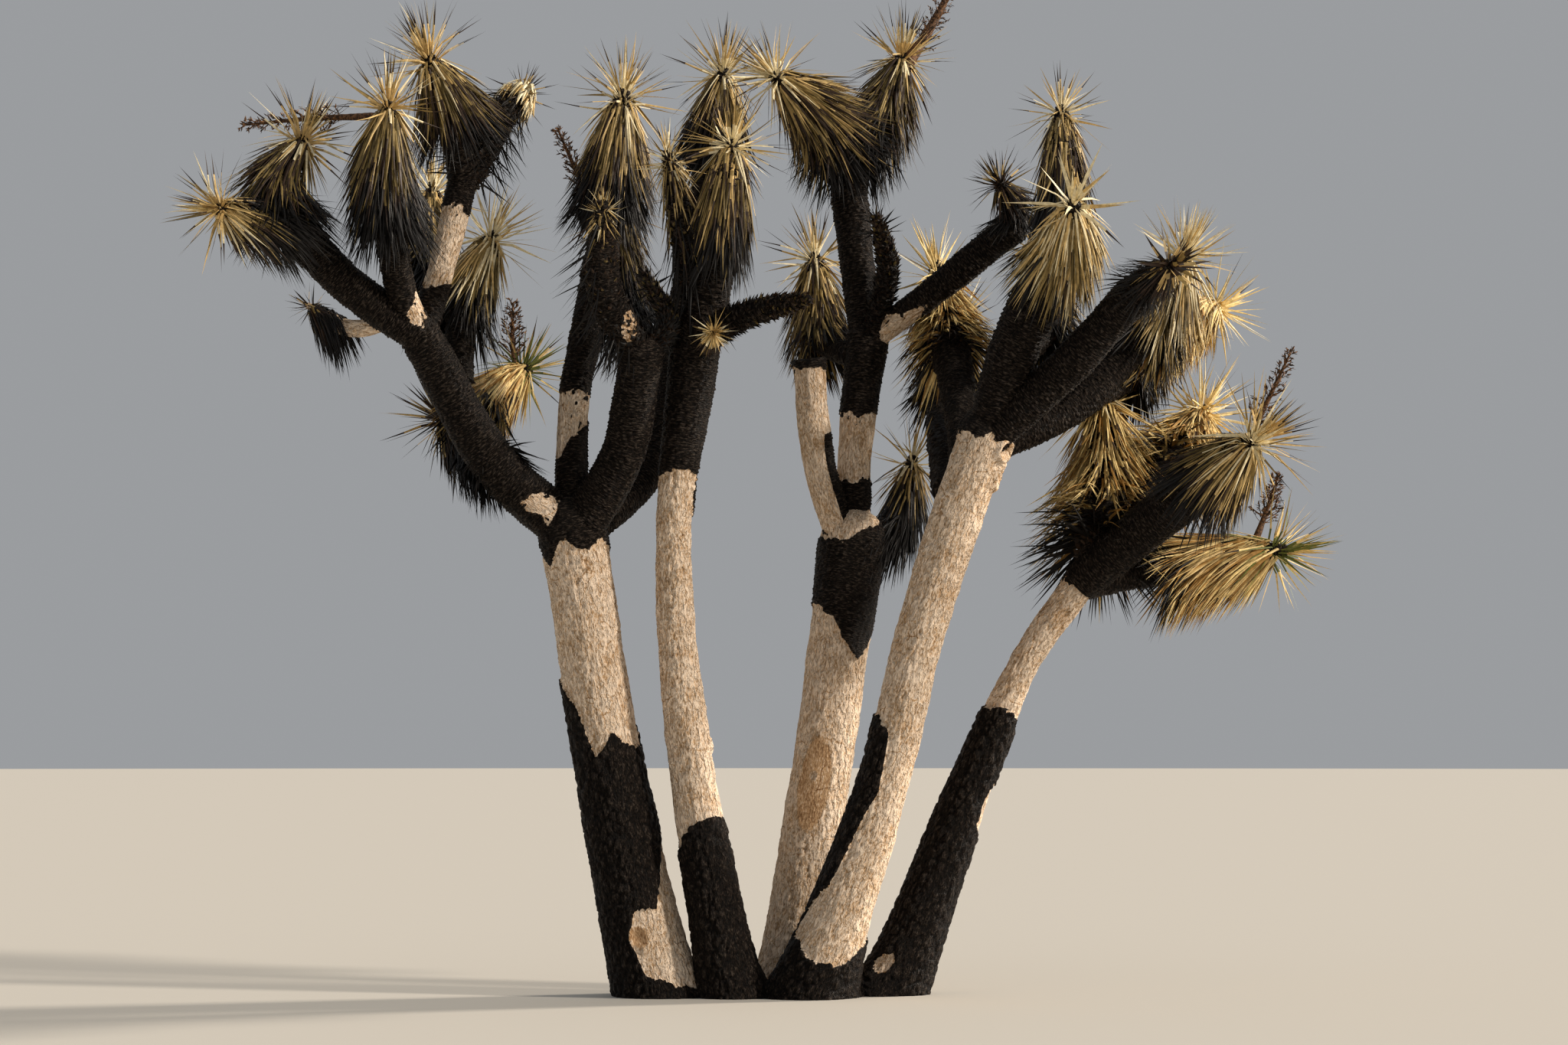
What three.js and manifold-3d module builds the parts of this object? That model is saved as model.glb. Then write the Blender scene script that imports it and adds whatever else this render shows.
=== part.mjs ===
// A burnt Joshua tree: one clump of five stems that lean apart from a shared root crown, with their forked
// boughs and the heads of dagger leaves at the bough tips. Some heads keep a skirt of dead leaves that hangs
// back over the bough, some are burnt to bristly stubs, and a few carry the dried stalk of old flowers.
// Units are millimetres, +Z is up, +X runs to the right and +Y away from the usual viewer.
// The origin is the middle of the front stem's flat cut at ground level.

import * as THREE from 'three';
import { mergeVertices } from 'three/addons/utils/BufferGeometryUtils.js';
import Module from 'manifold-3d';

const wasm = await Module();
wasm.setup();

// Driving dimensions. The joints and radii of limbs and heads below are in centimetres.
const CM = 10;
const GAP = 0.35;
const LEAF_CLEARANCE = 1;
const LEAF_LENGTH = 31;
const LEAF_WIDTH = 6;
const LEAF_THICKNESS = 1.5;
const ROOT_FLARE_HEIGHT = 16;
const GOLDEN_ANGLE = Math.PI * (3 - Math.sqrt(5));

// How fine the limbs and cores are, in sides round and rings along.
const STEM_SIDES = 12;
const STEM_RINGS_A_JOINT = 3;
const BOUGH_SIDES = 9;
const BOUGH_RINGS = 6;
const CORE_SIDES = 6;
const CORE_RINGS = 5;

// The kinds of leaf on a head. Place is how far along the core they root, opening is their angle to it in
// degrees, and sunk is how far out from its middle they root, as a share of its radius, each from the first
// leaf to the last. Size gives length and width as shares of a full leaf, and droop is the pull of its weight.
const ROSETTE = { count: 8, place: [0.98, 0.8], opening: [20, 95], sunk: [0.28, 0.62], size: [1, 1], droop: 0 };
const SKIRT = { count: 5, place: [0.76, 0.4], opening: [124, 138], sunk: [0.6, 0.6], size: [0.95, 1], droop: 0.4 };
const LIMB_SKIRT = { ...SKIRT, place: [0.85, 0.61] };
const BRISTLES = { ...SKIRT, count: 10, place: [0.93, 0.26], opening: [62, 62], size: [0.3, 0.5], droop: 0 };

// A dried flower stalk, and the twigs round its upper half.
const STALK_WIDTH = 3.2;
const TWIG_COUNT = 5;
const TWIG_LENGTH = 10;
const TWIG_WIDTH = 2;

const BARE_WOOD = '#cdb79f';
const CHARRED_BARK = '#2a2523';
const STRAW = '#a98f63';
const GOLDEN_STRAW = '#b98a45';
const BURNT_LEAF = '#3a312a';

// The stems, from the flat cut at ground level up to their forks. Each root is a lobe of the flare, which
// reaches towards a neighbour: its direction in the ground plane, and its length as a share of the radius.
const stems = {
  front_stem: {
    through: [[0, 0, 0], [36, -5, 102], [58, -10, 191], [89, -15, 285]],
    radii: [18.5, 12.3, 12.3, 13.5],
    roots: [[-0.95, 0.05, 0.35], [0.85, 0.5, 0.9], [-0.3, 0.95, 0.3]],
  },
  left_stem: {
    through: [[-78, 12, 0], [-103, 5, 123], [-121, -5, 238]],
    radii: [21, 16.5, 16.5],
    roots: [[1, -0.25, 0.3], [-0.6, 0.8, 0.2]],
  },
  slim_stem: {
    through: [[-40, 2, 0], [-64, -3, 147], [-69, -10, 238], [-58, -18, 329]],
    radii: [14, 10.5, 8.2, 12],
    roots: [[-1, 0.2, 0.25], [1, 0, 0.5]],
  },
  back_stem: {
    through: [[-10, 42, 0], [10, 50, 137], [23, 60, 236]],
    radii: [17.5, 15.3, 16.5],
    roots: [[0.2, -1, 0.7], [-0.8, -0.6, 0.3], [0.9, -0.3, 0.3]],
  },
  right_stem: {
    through: [[44, 26, 0], [81, 28, 100], [112, 26, 171], [141, 22, 213]],
    radii: [16, 10.8, 7.4, 8.2],
    roots: [[-0.85, -0.5, 0.7], [0.7, 0.5, 0.15]],
  },
};

// The boughs. Each is one tapering limb that starts inside the limb it grows from and is cut clear of it.
const boughs = {
  left_bough: { through: [[-121, -5, 236], [-160, -15, 271], [-196, -35, 334]], radii: [12.5, 11.3, 9.8] },
  thick_bough: { through: [[-120, -6, 234], [-95, -20, 274], [-84, -40, 326]], radii: [11.5, 10.5, 10.5] },
  centre_bough: { through: [[-121, -3, 236], [-121, 5, 302], [-111, 12, 361]], radii: [8.5, 7.4, 8] },
  rear_bough: { through: [[-119, -2, 234], [-83, 50, 276], [-62, 95, 394]], radii: [9.5, 8.4, 7.5] },
  far_left_bough: { through: [[-196, -35, 334], [-231, -50, 358], [-260, -70, 388]], radii: [9.4, 9, 8.6] },
  skirted_bough: { through: [[-196, -35, 332], [-205, -50, 358], [-208, -65, 383]], radii: [7.2, 7, 7] },
  bare_bough: { through: [[-196, -33, 332], [-186, -25, 371], [-177, -15, 414]], radii: [6.6, 6.8, 6.8] },
  slim_top_bough: { through: [[-58, -18, 327], [-51, -30, 355], [-46, -38, 377]], radii: [11.5, 10, 9.5] },
  back_bough: { through: [[23, 60, 232], [25, 68, 284], [32, 78, 346]], radii: [9.8, 8.8, 10.6] },
  broken_bough: { through: [[20, 58, 230], [6, 51, 274], [0, 45, 330]], radii: [8.4, 8.2, 8.4] },
  back_top_bough: { through: [[32, 78, 344], [25, 85, 401], [21, 90, 446]], radii: [9, 8.6, 9.6] },
  crossing_bough: { through: [[33, 77, 344], [69, 57, 370], [108, 38, 400]], radii: [6.4, 7, 8.2] },
  high_bough: { through: [[89, -15, 283], [103, -30, 326], [123, -42, 369]], radii: [9, 12, 13] },
  arching_bough: { through: [[88, -15, 282], [130, -35, 318], [161, -55, 352]], radii: [10, 9.6, 9] },
  lower_arching_bough: { through: [[88, -12, 280], [135, 5, 302], [177, 25, 344]], radii: [10, 9.2, 8.2] },
  right_bough: { through: [[140, 22, 212], [170, 5, 237], [199, -15, 261]], radii: [9.6, 11.4, 11.6] },
};

// The heads: the path of each one's core from its bough to its tip, and the core's radii at its foot, where
// its skirt of dead leaves is widest, and at its tip. A head with a limb grows on a limb of its own from the
// side of a stem or bough. Leaf is its share of the full size of a leaf, and a stalk is the line of a dried
// flower stalk. A bristly head is burnt down to the stubs of its leaves.
const heads = {
  far_left_head: {
    through: [[-260, -70, 388], [-274, -80, 389], [-289, -95, 389]],
    core: [8.4, 11, 4.5],
  },
  left_upright_head: {
    through: [[-260, -69, 390], [-263, -65, 408], [-253, -55, 430]],
    core: [8.4, 14, 5],
    stalk: [[-240, -42, 436], [-280, -30, 446]],
  },
  long_skirt_head: {
    through: [[-208, -65, 383], [-211, -70, 413], [-208, -75, 445]],
    core: [8, 15.5, 5],
  },
  top_left_head: { through: [[-177, -15, 414], [-181, -30, 447], [-193, -40, 475]], core: [7, 15, 5] },
  curled_head: { through: [[-176, -14, 415], [-163, 0, 446], [-148, 15, 468]], core: [6.5, 10, 6] },
  inner_left_head: {
    through: [[-178, -20, 312], [-177, -5, 352], [-163, 10, 392]],
    core: [7, 13.5, 4.5],
    limb: true,
  },
  golden_inner_head: {
    through: [[-166, -14, 279], [-171, 35, 305], [-149, 60, 328]],
    core: [7, 14, 5],
    limb: true,
    stalk: [[-150, 55, 334], [-157, 62, 362]],
    golden: true,
  },
  drooping_head: {
    through: [[-212, -40, 339], [-234, -25, 339], [-255, -20, 351]],
    core: [3.4, 7, 3.6],
    leaf: 0.8,
  },
  hidden_left_head: { through: [[-158, -12, 272], [-176, 25, 282], [-194, 50, 300]], core: [6, 9.5, 4] },
  rear_left_head: {
    through: [[-182, -22, 318], [-200, 50, 372], [-205, 105, 432]],
    core: [5.5, 12, 4.5],
    limb: true,
  },
  centre_top_head: {
    through: [[-111, 12, 361], [-102, 10, 414], [-96, 5, 466]],
    core: [8.5, 17, 5],
    limb: true,
    stalk: [[-108, 22, 420], [-133, 30, 452]],
  },
  scorched_head: {
    through: [[-84, -40, 325], [-101, -55, 350], [-103, -65, 397]],
    core: [5.2, 10.5, 6],
    leaf: 0.5,
    burnt: true,
  },
  bristle_stub: {
    through: [[-83, -38, 326], [-71, -28, 340], [-84, -20, 367]],
    core: [4, 6.5, 5],
    bristly: true,
  },
  rear_centre_head: {
    through: [[-62, 95, 394], [-52, 105, 454], [-46, 110, 498]],
    core: [7.5, 12, 4.5],
    limb: true,
  },
  rear_skirt_head: {
    through: [[-78, 56, 292], [-100, 120, 360], [-106, 155, 432]],
    core: [6, 13, 4.5],
    limb: true,
  },
  slim_top_head: { through: [[-46, -38, 377], [-42, -45, 405], [-39, -50, 430]], core: [9.4, 16, 5] },
  slim_side_head: {
    through: [[-54, -24, 342], [-61, -35, 376], [-72, -30, 428]],
    core: [5, 8.5, 4.5],
    leaf: 0.75,
  },
  small_front_head: {
    through: [[-55, -22, 337], [-50, -38, 334], [-48, -46, 334]],
    core: [4.5, 4.5, 3],
    leaf: 0.5,
  },
  bristle_bough: {
    through: [[-54, -22, 336], [-28, -40, 345], [0, -55, 350]],
    core: [7, 7.5, 3],
    bristly: true,
  },
  draped_head: { through: [[21, 90, 444], [4, 75, 468], [-19, 60, 485]], core: [9, 17, 5] },
  stalk_head: {
    through: [[22, 91, 445], [40, 105, 471], [53, 120, 508]],
    core: [9, 15, 5],
    stalk: [[52, 118, 500], [84, 130, 554]],
  },
  hooked_stub: {
    through: [[34, 74, 344], [42, 62, 381], [36, 55, 408]],
    core: [6, 7.5, 4.6],
    bristly: true,
  },
  crossing_head: { through: [[108, 38, 400], [108, 36, 409], [100, 30, 422]], core: [8.2, 9, 5] },
  back_left_head: {
    through: [[24, 77, 336], [8, 110, 350], [4, 130, 398]],
    core: [6, 14, 4.5],
    limb: true,
  },
  sheltered_head: { through: [[27, 62, 232], [49, 85, 248], [57, 100, 283]], core: [8, 12, 4.5] },
  rear_right_head: {
    through: [[70, -6, 258], [74, 130, 310], [86, 200, 372]],
    core: [7, 12.5, 4.5],
    limb: true,
  },
  facing_head: { through: [[123, -42, 369], [129, -60, 382], [129, -85, 393]], core: [12.6, 17, 6] },
  upper_right_head: { through: [[124, -40, 370], [129, -20, 413], [130, 0, 456]], core: [10, 16, 5] },
  golden_rear_head: {
    through: [[80, -14, 270], [78, 50, 319], [70, 110, 390]],
    core: [8, 15, 5],
    limb: true,
    golden: true,
  },
  rear_high_head: {
    through: [[102, -28, 320], [125, 65, 350], [134, 140, 402]],
    core: [6, 12.5, 4.5],
    limb: true,
  },
  burst_head: {
    through: [[161, -55, 352], [171, -65, 359], [178, -75, 364]],
    core: [8.8, 9, 5],
    leaf: 0.7,
  },
  outer_head: { through: [[177, 25, 344], [188, 20, 362], [195, 15, 382]], core: [8, 14, 5] },
  outer_golden_head: {
    through: [[178, 27, 344], [200, 55, 354], [220, 80, 362]],
    core: [7, 13, 4.5],
    golden: true,
  },
  rear_outer_head: {
    through: [[132, 4, 300], [175, 95, 328], [206, 155, 368]],
    core: [5.5, 12, 4.5],
    limb: true,
  },
  right_head: {
    through: [[199, -15, 261], [211, -28, 271], [223, -40, 280]],
    core: [11.4, 16, 5.5],
    stalk: [[220, -34, 276], [243, -30, 326]],
  },
  golden_fan_head: {
    through: [[148, 19, 222], [156, 50, 262], [157, 72, 317]],
    core: [8, 18, 5],
    golden: true,
  },
  golden_rear_fan_head: {
    through: [[166, 8, 235], [191, 70, 276], [217, 120, 311]],
    core: [7, 14, 5],
    limb: true,
    golden: true,
  },
  green_tip_head: {
    through: [[142, 23, 212], [193, 35, 222], [248, 30, 229]],
    core: [8.5, 16.5, 5],
    limb: true,
    stalk: [[232, 34, 232], [246, 42, 268]],
    golden: true,
  },
};

const vector = ([x, y, z]) => new THREE.Vector3(x, y, z).multiplyScalar(CM);

// Repeatable numbers from 0 to 1 for a named piece.
function seededNumbers(name) {
  let state = [...name].reduce((sum, letter) => Math.imul(sum ^ letter.charCodeAt(0), 16777619), 2166136261);
  return () => {
    state = Math.imul(state ^ (state >>> 15), 2246822519) + 0x9e3779b9;
    const mixed = Math.imul(state ^ (state >>> 13), 3266489917);
    return ((mixed ^ (mixed >>> 16)) >>> 0) / 2 ** 32;
  };
}

// The value at share t of the way through a list of evenly spaced values.
function valueAt(values, t) {
  const place = t * (values.length - 1);
  const below = Math.min(Math.floor(place), values.length - 2);
  return THREE.MathUtils.lerp(values[below], values[below + 1], place - below);
}

// Frames along a curve whose normals don't twist.
function framesAlong(curve, steps) {
  let normal = new THREE.Vector3(0.2, 1, 0.1).normalize();
  return Array.from({ length: steps + 1 }, (_, i) => {
    const along = curve.getTangent(i / steps);
    if (i === 0 && Math.abs(normal.dot(along)) > 0.9) normal = new THREE.Vector3(1, 0, 0);
    normal = normal.clone().addScaledVector(along, -normal.dot(along)).normalize();
    return { at: curve.getPoint(i / steps), along, normal, side: normal.clone().cross(along) };
  });
}

// A three.js geometry as a manifold solid, with its shared corners merged.
function solidFrom(geometry) {
  geometry.deleteAttribute('normal');
  geometry.deleteAttribute('uv');
  const merged = mergeVertices(geometry, 1e-3);
  return new wasm.Manifold(new wasm.Mesh({
    numProp: 3,
    vertProperties: new Float32Array(merged.attributes.position.array),
    triVerts: new Uint32Array(merged.index.array),
  }));
}

// A cylinder bent along a limb's curve. The swell is a share of the radius, by a ring's place and direction.
function limbSolid({ curve, radii, sides, rings, grow = 0, swell = () => 1 }) {
  const geometry = new THREE.CylinderGeometry(1, 1, 1, sides, rings);
  const frames = framesAlong(curve, rings);
  const position = geometry.attributes.position;
  for (let i = 0; i < position.count; i++) {
    const [x, height, z] = [position.getX(i), position.getY(i), position.getZ(i)];
    const ring = Math.round((height + 0.5) * rings);
    const { at, along, normal, side } = frames[ring];
    const outward = normal.clone().multiplyScalar(x).addScaledVector(side, z);
    const radius = valueAt(radii, ring / rings) * CM * swell(at, outward) + grow;
    const end = ring === 0 ? -grow : ring === rings ? grow : 0;
    const point = at.clone().addScaledVector(outward, radius).addScaledVector(along, end);
    position.setXYZ(i, point.x, point.y, point.z);
  }
  return solidFrom(geometry);
}

// The largest body of a solid, so that a cut leaves no scrap.
function largestBody(solid) {
  return solid.decompose().reduce((best, body) => (body.volume() > best.volume() ? body : best));
}

function boxesMeet(a, b) {
  const [p, q] = [a.boundingBox(), b.boundingBox()];
  return [0, 1, 2].every((k) => p.min[k] < q.max[k] && q.min[k] < p.max[k]);
}

// The solid with a gap cut round each of the others that it reaches.
function cutClear(solid, others) {
  const near = others.filter((other) => boxesMeet(solid, other));
  return largestBody(near.reduce((left, other) => left.subtract(other), solid));
}

// A stem runs on below the ground, flares into its root lobes, and is cut flat at ground level.
function stemParts({ through, radii, roots }) {
  const points = through.map(vector);
  const below = points[0].clone().lerp(points[1], -0.12);
  const swell = (at, outward) => {
    const fade = Math.exp(-Math.max(at.z, 0) / (ROOT_FLARE_HEIGHT * CM));
    const reach = roots.map(([x, y, share]) => share * Math.max(0, outward.x * x + outward.y * y) ** 3);
    return 1 + fade * Math.max(0, ...reach);
  };
  const shape = {
    curve: new THREE.CatmullRomCurve3([below, ...points], false, 'centripetal'),
    radii: [radii[0], ...radii],
    sides: STEM_SIDES,
    rings: STEM_RINGS_A_JOINT * points.length + 4,
    swell,
  };
  return { solid: limbSolid(shape).trimByPlane([0, 0, 1], 0), grown: limbSolid({ ...shape, grow: GAP }) };
}

function boughParts({ through, radii }) {
  const curve = new THREE.CatmullRomCurve3(through.map(vector), false, 'centripetal');
  const shape = { curve, radii, sides: BOUGH_SIDES, rings: BOUGH_RINGS };
  return { solid: limbSolid(shape), grown: limbSolid({ ...shape, grow: GAP }) };
}

// A core is a spindle that keeps most of its width up to where the rosette of live leaves begins. Where the
// head has a limb of its own, the skirt covers only the limb's upper half.
const coreRadii = ({ core: [foot, widest, tip], limb }) =>
  limb ? [foot, 0.92 * foot, foot, widest, 0.9 * widest, tip] : [foot, widest, 0.9 * widest, tip];

function coreParts(head) {
  const curve = new THREE.CatmullRomCurve3(head.through.map(vector), false, 'centripetal');
  const shape = { curve, radii: coreRadii(head), sides: CORE_SIDES, rings: CORE_RINGS };
  return { solid: limbSolid(shape), grown: limbSolid({ ...shape, grow: GAP }), curve };
}

// A blade with three sides that tapers from its root to its point. Facing is the way its flat side looks.
function bladeSolid(root, direction, facing, length, width, thickness) {
  const geometry = new THREE.ConeGeometry(1, 1, 3, 1);
  geometry.translate(0, 0.5, 0);
  geometry.scale(width / Math.sqrt(3), length, thickness / 1.5);
  const across = direction.clone().cross(facing).normalize();
  const basis = new THREE.Matrix4().makeBasis(across, direction, across.clone().cross(direction));
  geometry.applyMatrix4(basis.setPosition(root));
  return solidFrom(geometry);
}

// Where the leaves of one kind are rooted and how they point. Leaves follow each other by the golden angle.
function leavesOf(kind, head, curve, random) {
  const frames = framesAlong(curve, 40);
  return Array.from({ length: kind.count }, (_, i) => {
    const share = i / (kind.count - 1);
    const place = valueAt(kind.place, share);
    const { at, along, normal, side } = frames[Math.round(place * 40)];
    const turn = i * GOLDEN_ANGLE + 0.5 * random();
    const outward = normal.clone().multiplyScalar(Math.cos(turn)).addScaledVector(side, Math.sin(turn));
    const opening = THREE.MathUtils.degToRad(valueAt(kind.opening, share));
    const direction = along.clone().multiplyScalar(Math.cos(opening + 0.25 * (random() - 0.5)));
    direction.addScaledVector(outward, Math.sin(opening));
    direction.z -= kind.droop;
    direction.normalize();
    const sunk = valueAt(coreRadii(head), place) * CM * valueAt(kind.sunk, share);
    return {
      root: at.clone().addScaledVector(outward, sunk),
      direction,
      facing: kind === ROSETTE ? along : outward,
      length: LEAF_LENGTH * CM * kind.size[0] * (head.leaf ?? 1) * (0.88 + 0.22 * random()),
      width: LEAF_WIDTH * CM * kind.size[1] * (head.leaf ?? 1),
    };
  });
}

// The rosette opens from the tip, and the skirt's dead leaves are bent back along the core.
function leafPlan(name, head, curve) {
  const random = seededNumbers(name);
  const kinds = head.bristly ? [BRISTLES] : [ROSETTE, head.limb ? LIMB_SKIRT : SKIRT];
  return kinds.flatMap((kind) => leavesOf(kind, head, curve, random));
}

// A dried flower stalk: a stem with short side twigs all round, sunk in the head at its foot.
function stalkSolids(name, [foot, tip]) {
  const random = seededNumbers(`${name} stalk`);
  const [from, to] = [vector(foot), vector(tip)];
  const length = from.distanceTo(to);
  const along = to.clone().sub(from).normalize();
  const aside = new THREE.Vector3(0, 1, 0).cross(along).normalize();
  const stem = bladeSolid(from, along, aside, length, STALK_WIDTH * CM, STALK_WIDTH * CM);
  const twigs = Array.from({ length: TWIG_COUNT }, (_, i) => {
    const outward = aside.clone().applyAxisAngle(along, i * GOLDEN_ANGLE + random());
    const direction = outward.clone().addScaledVector(along, 0.7).normalize();
    const root = from.clone().lerp(to, 0.42 + 0.09 * i);
    return bladeSolid(root, direction, along, (TWIG_LENGTH - i) * CM, TWIG_WIDTH * CM, LEAF_THICKNESS * CM);
  });
  return [stem, ...twigs];
}

const touches = (piece, others) =>
  others.some((other) => boxesMeet(piece, other) && piece.intersect(other).volume() > 0);

// A head's core with its leaves and stalk, where they keep clear of every limb and of the other heads.
function headSolid(name, head, { solid, curve }, others) {
  const clear = leafPlan(name, head, curve).filter(({ root, direction, facing, length, width }) => {
    const room = [length, width, LEAF_THICKNESS * CM].map((size) => size + LEAF_CLEARANCE);
    return !touches(bladeSolid(root, direction, facing, ...room), others);
  });
  const leaves = clear.map(({ root, direction, facing, length, width }) =>
    bladeSolid(root, direction, facing, length, width, LEAF_THICKNESS * CM));
  const stalk = (head.stalk ? stalkSolids(name, head.stalk) : []).filter((piece) => !touches(piece, others));
  return largestBody([...leaves, ...stalk].reduce((whole, piece) => whole.add(piece), solid));
}

function meshOf(name, solid, colour) {
  const { numProp, numVert, vertProperties, triVerts } = solid.getMesh();
  const corners = new Float32Array(numVert * 3);
  for (let i = 0; i < numVert; i++) corners.set(vertProperties.subarray(i * numProp, i * numProp + 3), i * 3);
  const geometry = new THREE.BufferGeometry();
  geometry.setAttribute('position', new THREE.BufferAttribute(corners, 3));
  geometry.setIndex(new THREE.BufferAttribute(triVerts, 1));
  geometry.computeVertexNormals();
  const mesh = new THREE.Mesh(geometry, new THREE.MeshStandardMaterial({ color: colour, roughness: 0.9 }));
  mesh.name = name;
  return mesh;
}

const tree = new THREE.Group();
const limbs = [];

function addLimbs(list, partsOf, colour) {
  for (const [name, values] of Object.entries(list)) {
    const parts = partsOf(values);
    const solid = cutClear(parts.solid, limbs.map(({ grown }) => grown));
    limbs.push({ solid, grown: parts.grown });
    tree.add(meshOf(name, solid, colour));
  }
}

addLimbs(stems, stemParts, BARE_WOOD);
addLimbs(boughs, boughParts, CHARRED_BARK);

// The cores come first, each cut clear of the limbs and of the cores before it, and then the leaves.
const cores = [];
for (const [name, head] of Object.entries(heads)) {
  const parts = coreParts(head);
  const solid = cutClear(parts.solid, [...limbs, ...cores].map(({ grown }) => grown));
  cores.push({ ...parts, name, head, solid });
}

function leafColour({ golden, burnt, bristly }) {
  if (burnt || bristly) return BURNT_LEAF;
  return golden ? GOLDEN_STRAW : STRAW;
}

const finished = [];
for (const core of cores) {
  const others = [...limbs, ...cores.filter((other) => other !== core), ...finished];
  const solid = headSolid(core.name, core.head, core, others.map((other) => other.solid));
  finished.push({ solid });
  tree.add(meshOf(core.name, solid, leafColour(core.head)));
}

export default tree;
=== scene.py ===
# A burnt Joshua tree: one clump of five stems that lean apart from a shared root crown, some years after a
# fire. Metres, +Z up, +X right, +Y away from the usual viewer. The origin is the front stem's flat cut.

import math

import bmesh
import bpy
import numpy as np
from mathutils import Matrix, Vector, noise


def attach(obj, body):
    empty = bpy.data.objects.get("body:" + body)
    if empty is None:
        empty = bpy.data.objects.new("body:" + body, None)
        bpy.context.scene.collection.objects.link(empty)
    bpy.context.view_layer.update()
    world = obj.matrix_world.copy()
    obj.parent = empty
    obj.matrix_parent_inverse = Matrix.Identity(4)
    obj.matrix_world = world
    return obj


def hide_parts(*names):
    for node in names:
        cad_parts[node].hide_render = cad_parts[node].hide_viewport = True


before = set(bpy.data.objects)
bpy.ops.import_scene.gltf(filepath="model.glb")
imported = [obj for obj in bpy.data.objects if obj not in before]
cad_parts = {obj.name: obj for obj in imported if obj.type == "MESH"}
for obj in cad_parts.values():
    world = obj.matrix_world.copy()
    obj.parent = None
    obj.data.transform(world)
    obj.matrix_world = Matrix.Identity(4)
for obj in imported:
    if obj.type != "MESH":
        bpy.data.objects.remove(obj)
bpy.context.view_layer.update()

# The view. The photograph was taken with a long lens from about head height, some way off, and looks a
# little up at the crown, so eye level lies below the middle of the picture.
IMAGE_WIDTH = 2048
IMAGE_HEIGHT = 1365
EYE_LEVEL_ROW = 968
LENS = 80
SENSOR_WIDTH = 36
EYE = Vector((-0.129, -17.8, 1.3))


def add_object(name, data):
    """A new object in the scene, with its mesh, lamp or camera."""
    added = bpy.data.objects.new(name, data)
    bpy.context.scene.collection.objects.link(added)
    return added


camera = add_object("camera", bpy.data.cameras.new("camera"))
camera.data.lens = LENS
camera.data.sensor_width = SENSOR_WIDTH
camera.location = EYE
upward = math.atan((EYE_LEVEL_ROW - IMAGE_HEIGHT / 2) / (IMAGE_WIDTH * LENS / SENSOR_WIDTH))
camera.rotation_euler = (math.radians(90) + upward, 0, 0)
bpy.context.scene.camera = camera

# The studio: a level floor of pale matt plaster, a pale room that lights everything softly, and two large
# warm lamps at the right, before and behind the tree, the side that the photograph's light comes from.
FLOOR_RADIUS = 150
FLOOR_SIDES = 96
FLOOR_COLOUR = "#cfc9be"
ROOM_COLOUR = "#dfe2e6"
ROOM_STRENGTH = 0.44
LAMP_COLOUR = "#fff4e6"
LAMP_SPREAD = math.radians(6)
LAMPS = {"front_lamp": (2.7, Vector((1.0, -0.36, 0.43))), "rear_lamp": (3.4, Vector((1.0, 0.34, 0.43)))}


def linear(hex_colour):
    """A colour written as sRGB, as the linear values that a shader takes."""
    shares = [int(hex_colour[i : i + 2], 16) / 255 for i in (1, 3, 5)]
    return (*(c / 12.92 if c <= 0.04045 else ((c + 0.055) / 1.055) ** 2.4 for c in shares), 1)


def new_material(name, values):
    """A material with one Principled shader, and that shader, with these values on its own sockets."""
    material = bpy.data.materials.new(name)
    material.use_nodes = True
    shader = material.node_tree.nodes["Principled BSDF"]
    for socket, value in values.items():
        shader.inputs[socket].default_value = value
    return material, shader


MATT_PLASTER = {"Base Color": linear(FLOOR_COLOUR), "Roughness": 0.95, "Specular IOR Level": 0.2}
plaster = new_material("pale_matt_plaster", MATT_PLASTER)[0]

bm = bmesh.new()
bmesh.ops.create_circle(bm, cap_ends=True, segments=FLOOR_SIDES, radius=FLOOR_RADIUS)
floor = add_object("floor", bpy.data.meshes.new("floor"))
bm.to_mesh(floor.data)
bm.free()
floor.data.materials.append(plaster)

world = bpy.data.worlds.new("room")
world.use_nodes = True
background = world.node_tree.nodes["Background"]
background.inputs["Color"].default_value = linear(ROOM_COLOUR)
background.inputs["Strength"].default_value = ROOM_STRENGTH
bpy.context.scene.world = world
bpy.context.scene.view_settings.view_transform = "Standard"

for name, (strength, comes_from) in LAMPS.items():
    lamp = add_object(name, bpy.data.lights.new(name, "SUN"))
    lamp.data.energy = strength
    lamp.data.color = linear(LAMP_COLOUR)[:3]
    lamp.data.angle = LAMP_SPREAD
    lamp.rotation_euler = comes_from.to_track_quat("Z", "Y").to_euler()

# The wood and bark of the limbs. Where the fire took the bark off, the wood is bare and pale, in fine flakes
# over broader plates along the grain, with painted highlight on raised flakes and painted shade in recesses.
# Elsewhere the bark is charcoal: near black and dull, in upright blocks low down and fine scales above. Its
# ridges are lighter, partly its own warm ash and partly a painted glint, and its gaps are painted shade.


def per_metre(millimetres):
    """A feature's size, as the scale of a pattern on coordinates in metres."""
    return 1000 / millimetres


# Each point of a limb keeps three marks: how far inside the charred part it lies, how high it stands in the
# relief, and its place on the limb as if that were straight, which the grain follows. A share says how much
# one pattern adds to another.
FLAKES = {"Scale": per_metre(7), "Detail": 4, "Roughness": 0.62}
PLATES = {"Scale": per_metre(18), "Detail": 3, "Roughness": 0.6}
PLATE_EDGES = {"From Min": 0.37, "From Max": 0.57}
GRAIN_STRETCH = 0.42
BLOTCHES = {"Scale": per_metre(120), "Detail": 4}
CRACKS = {"Scale": per_metre(170)}
CRACK_SQUASH = 0.8
CRACK_WIDTH = {"From Max": 0.018, "To Min": 1, "To Max": 0}
CRACK_TONE = {"From Min": 0.48, "From Max": 0.6, "To Min": 0, "To Max": -0.34}
WANDER = {"Scale": per_metre(60), "Detail": 3}
WANDER_REACH = (0.05, 0.05, 0.05)
BLOTCH_SHARE = 0.4
# Ridges and plates make raised wood lighter, as painted highlight, and recesses darker, as painted shade.
WOOD_RIDGE_SHADING_AND_STAIN_SHARE = 0.22
PLATE_SHADING_SHARE = 0.05
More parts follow.
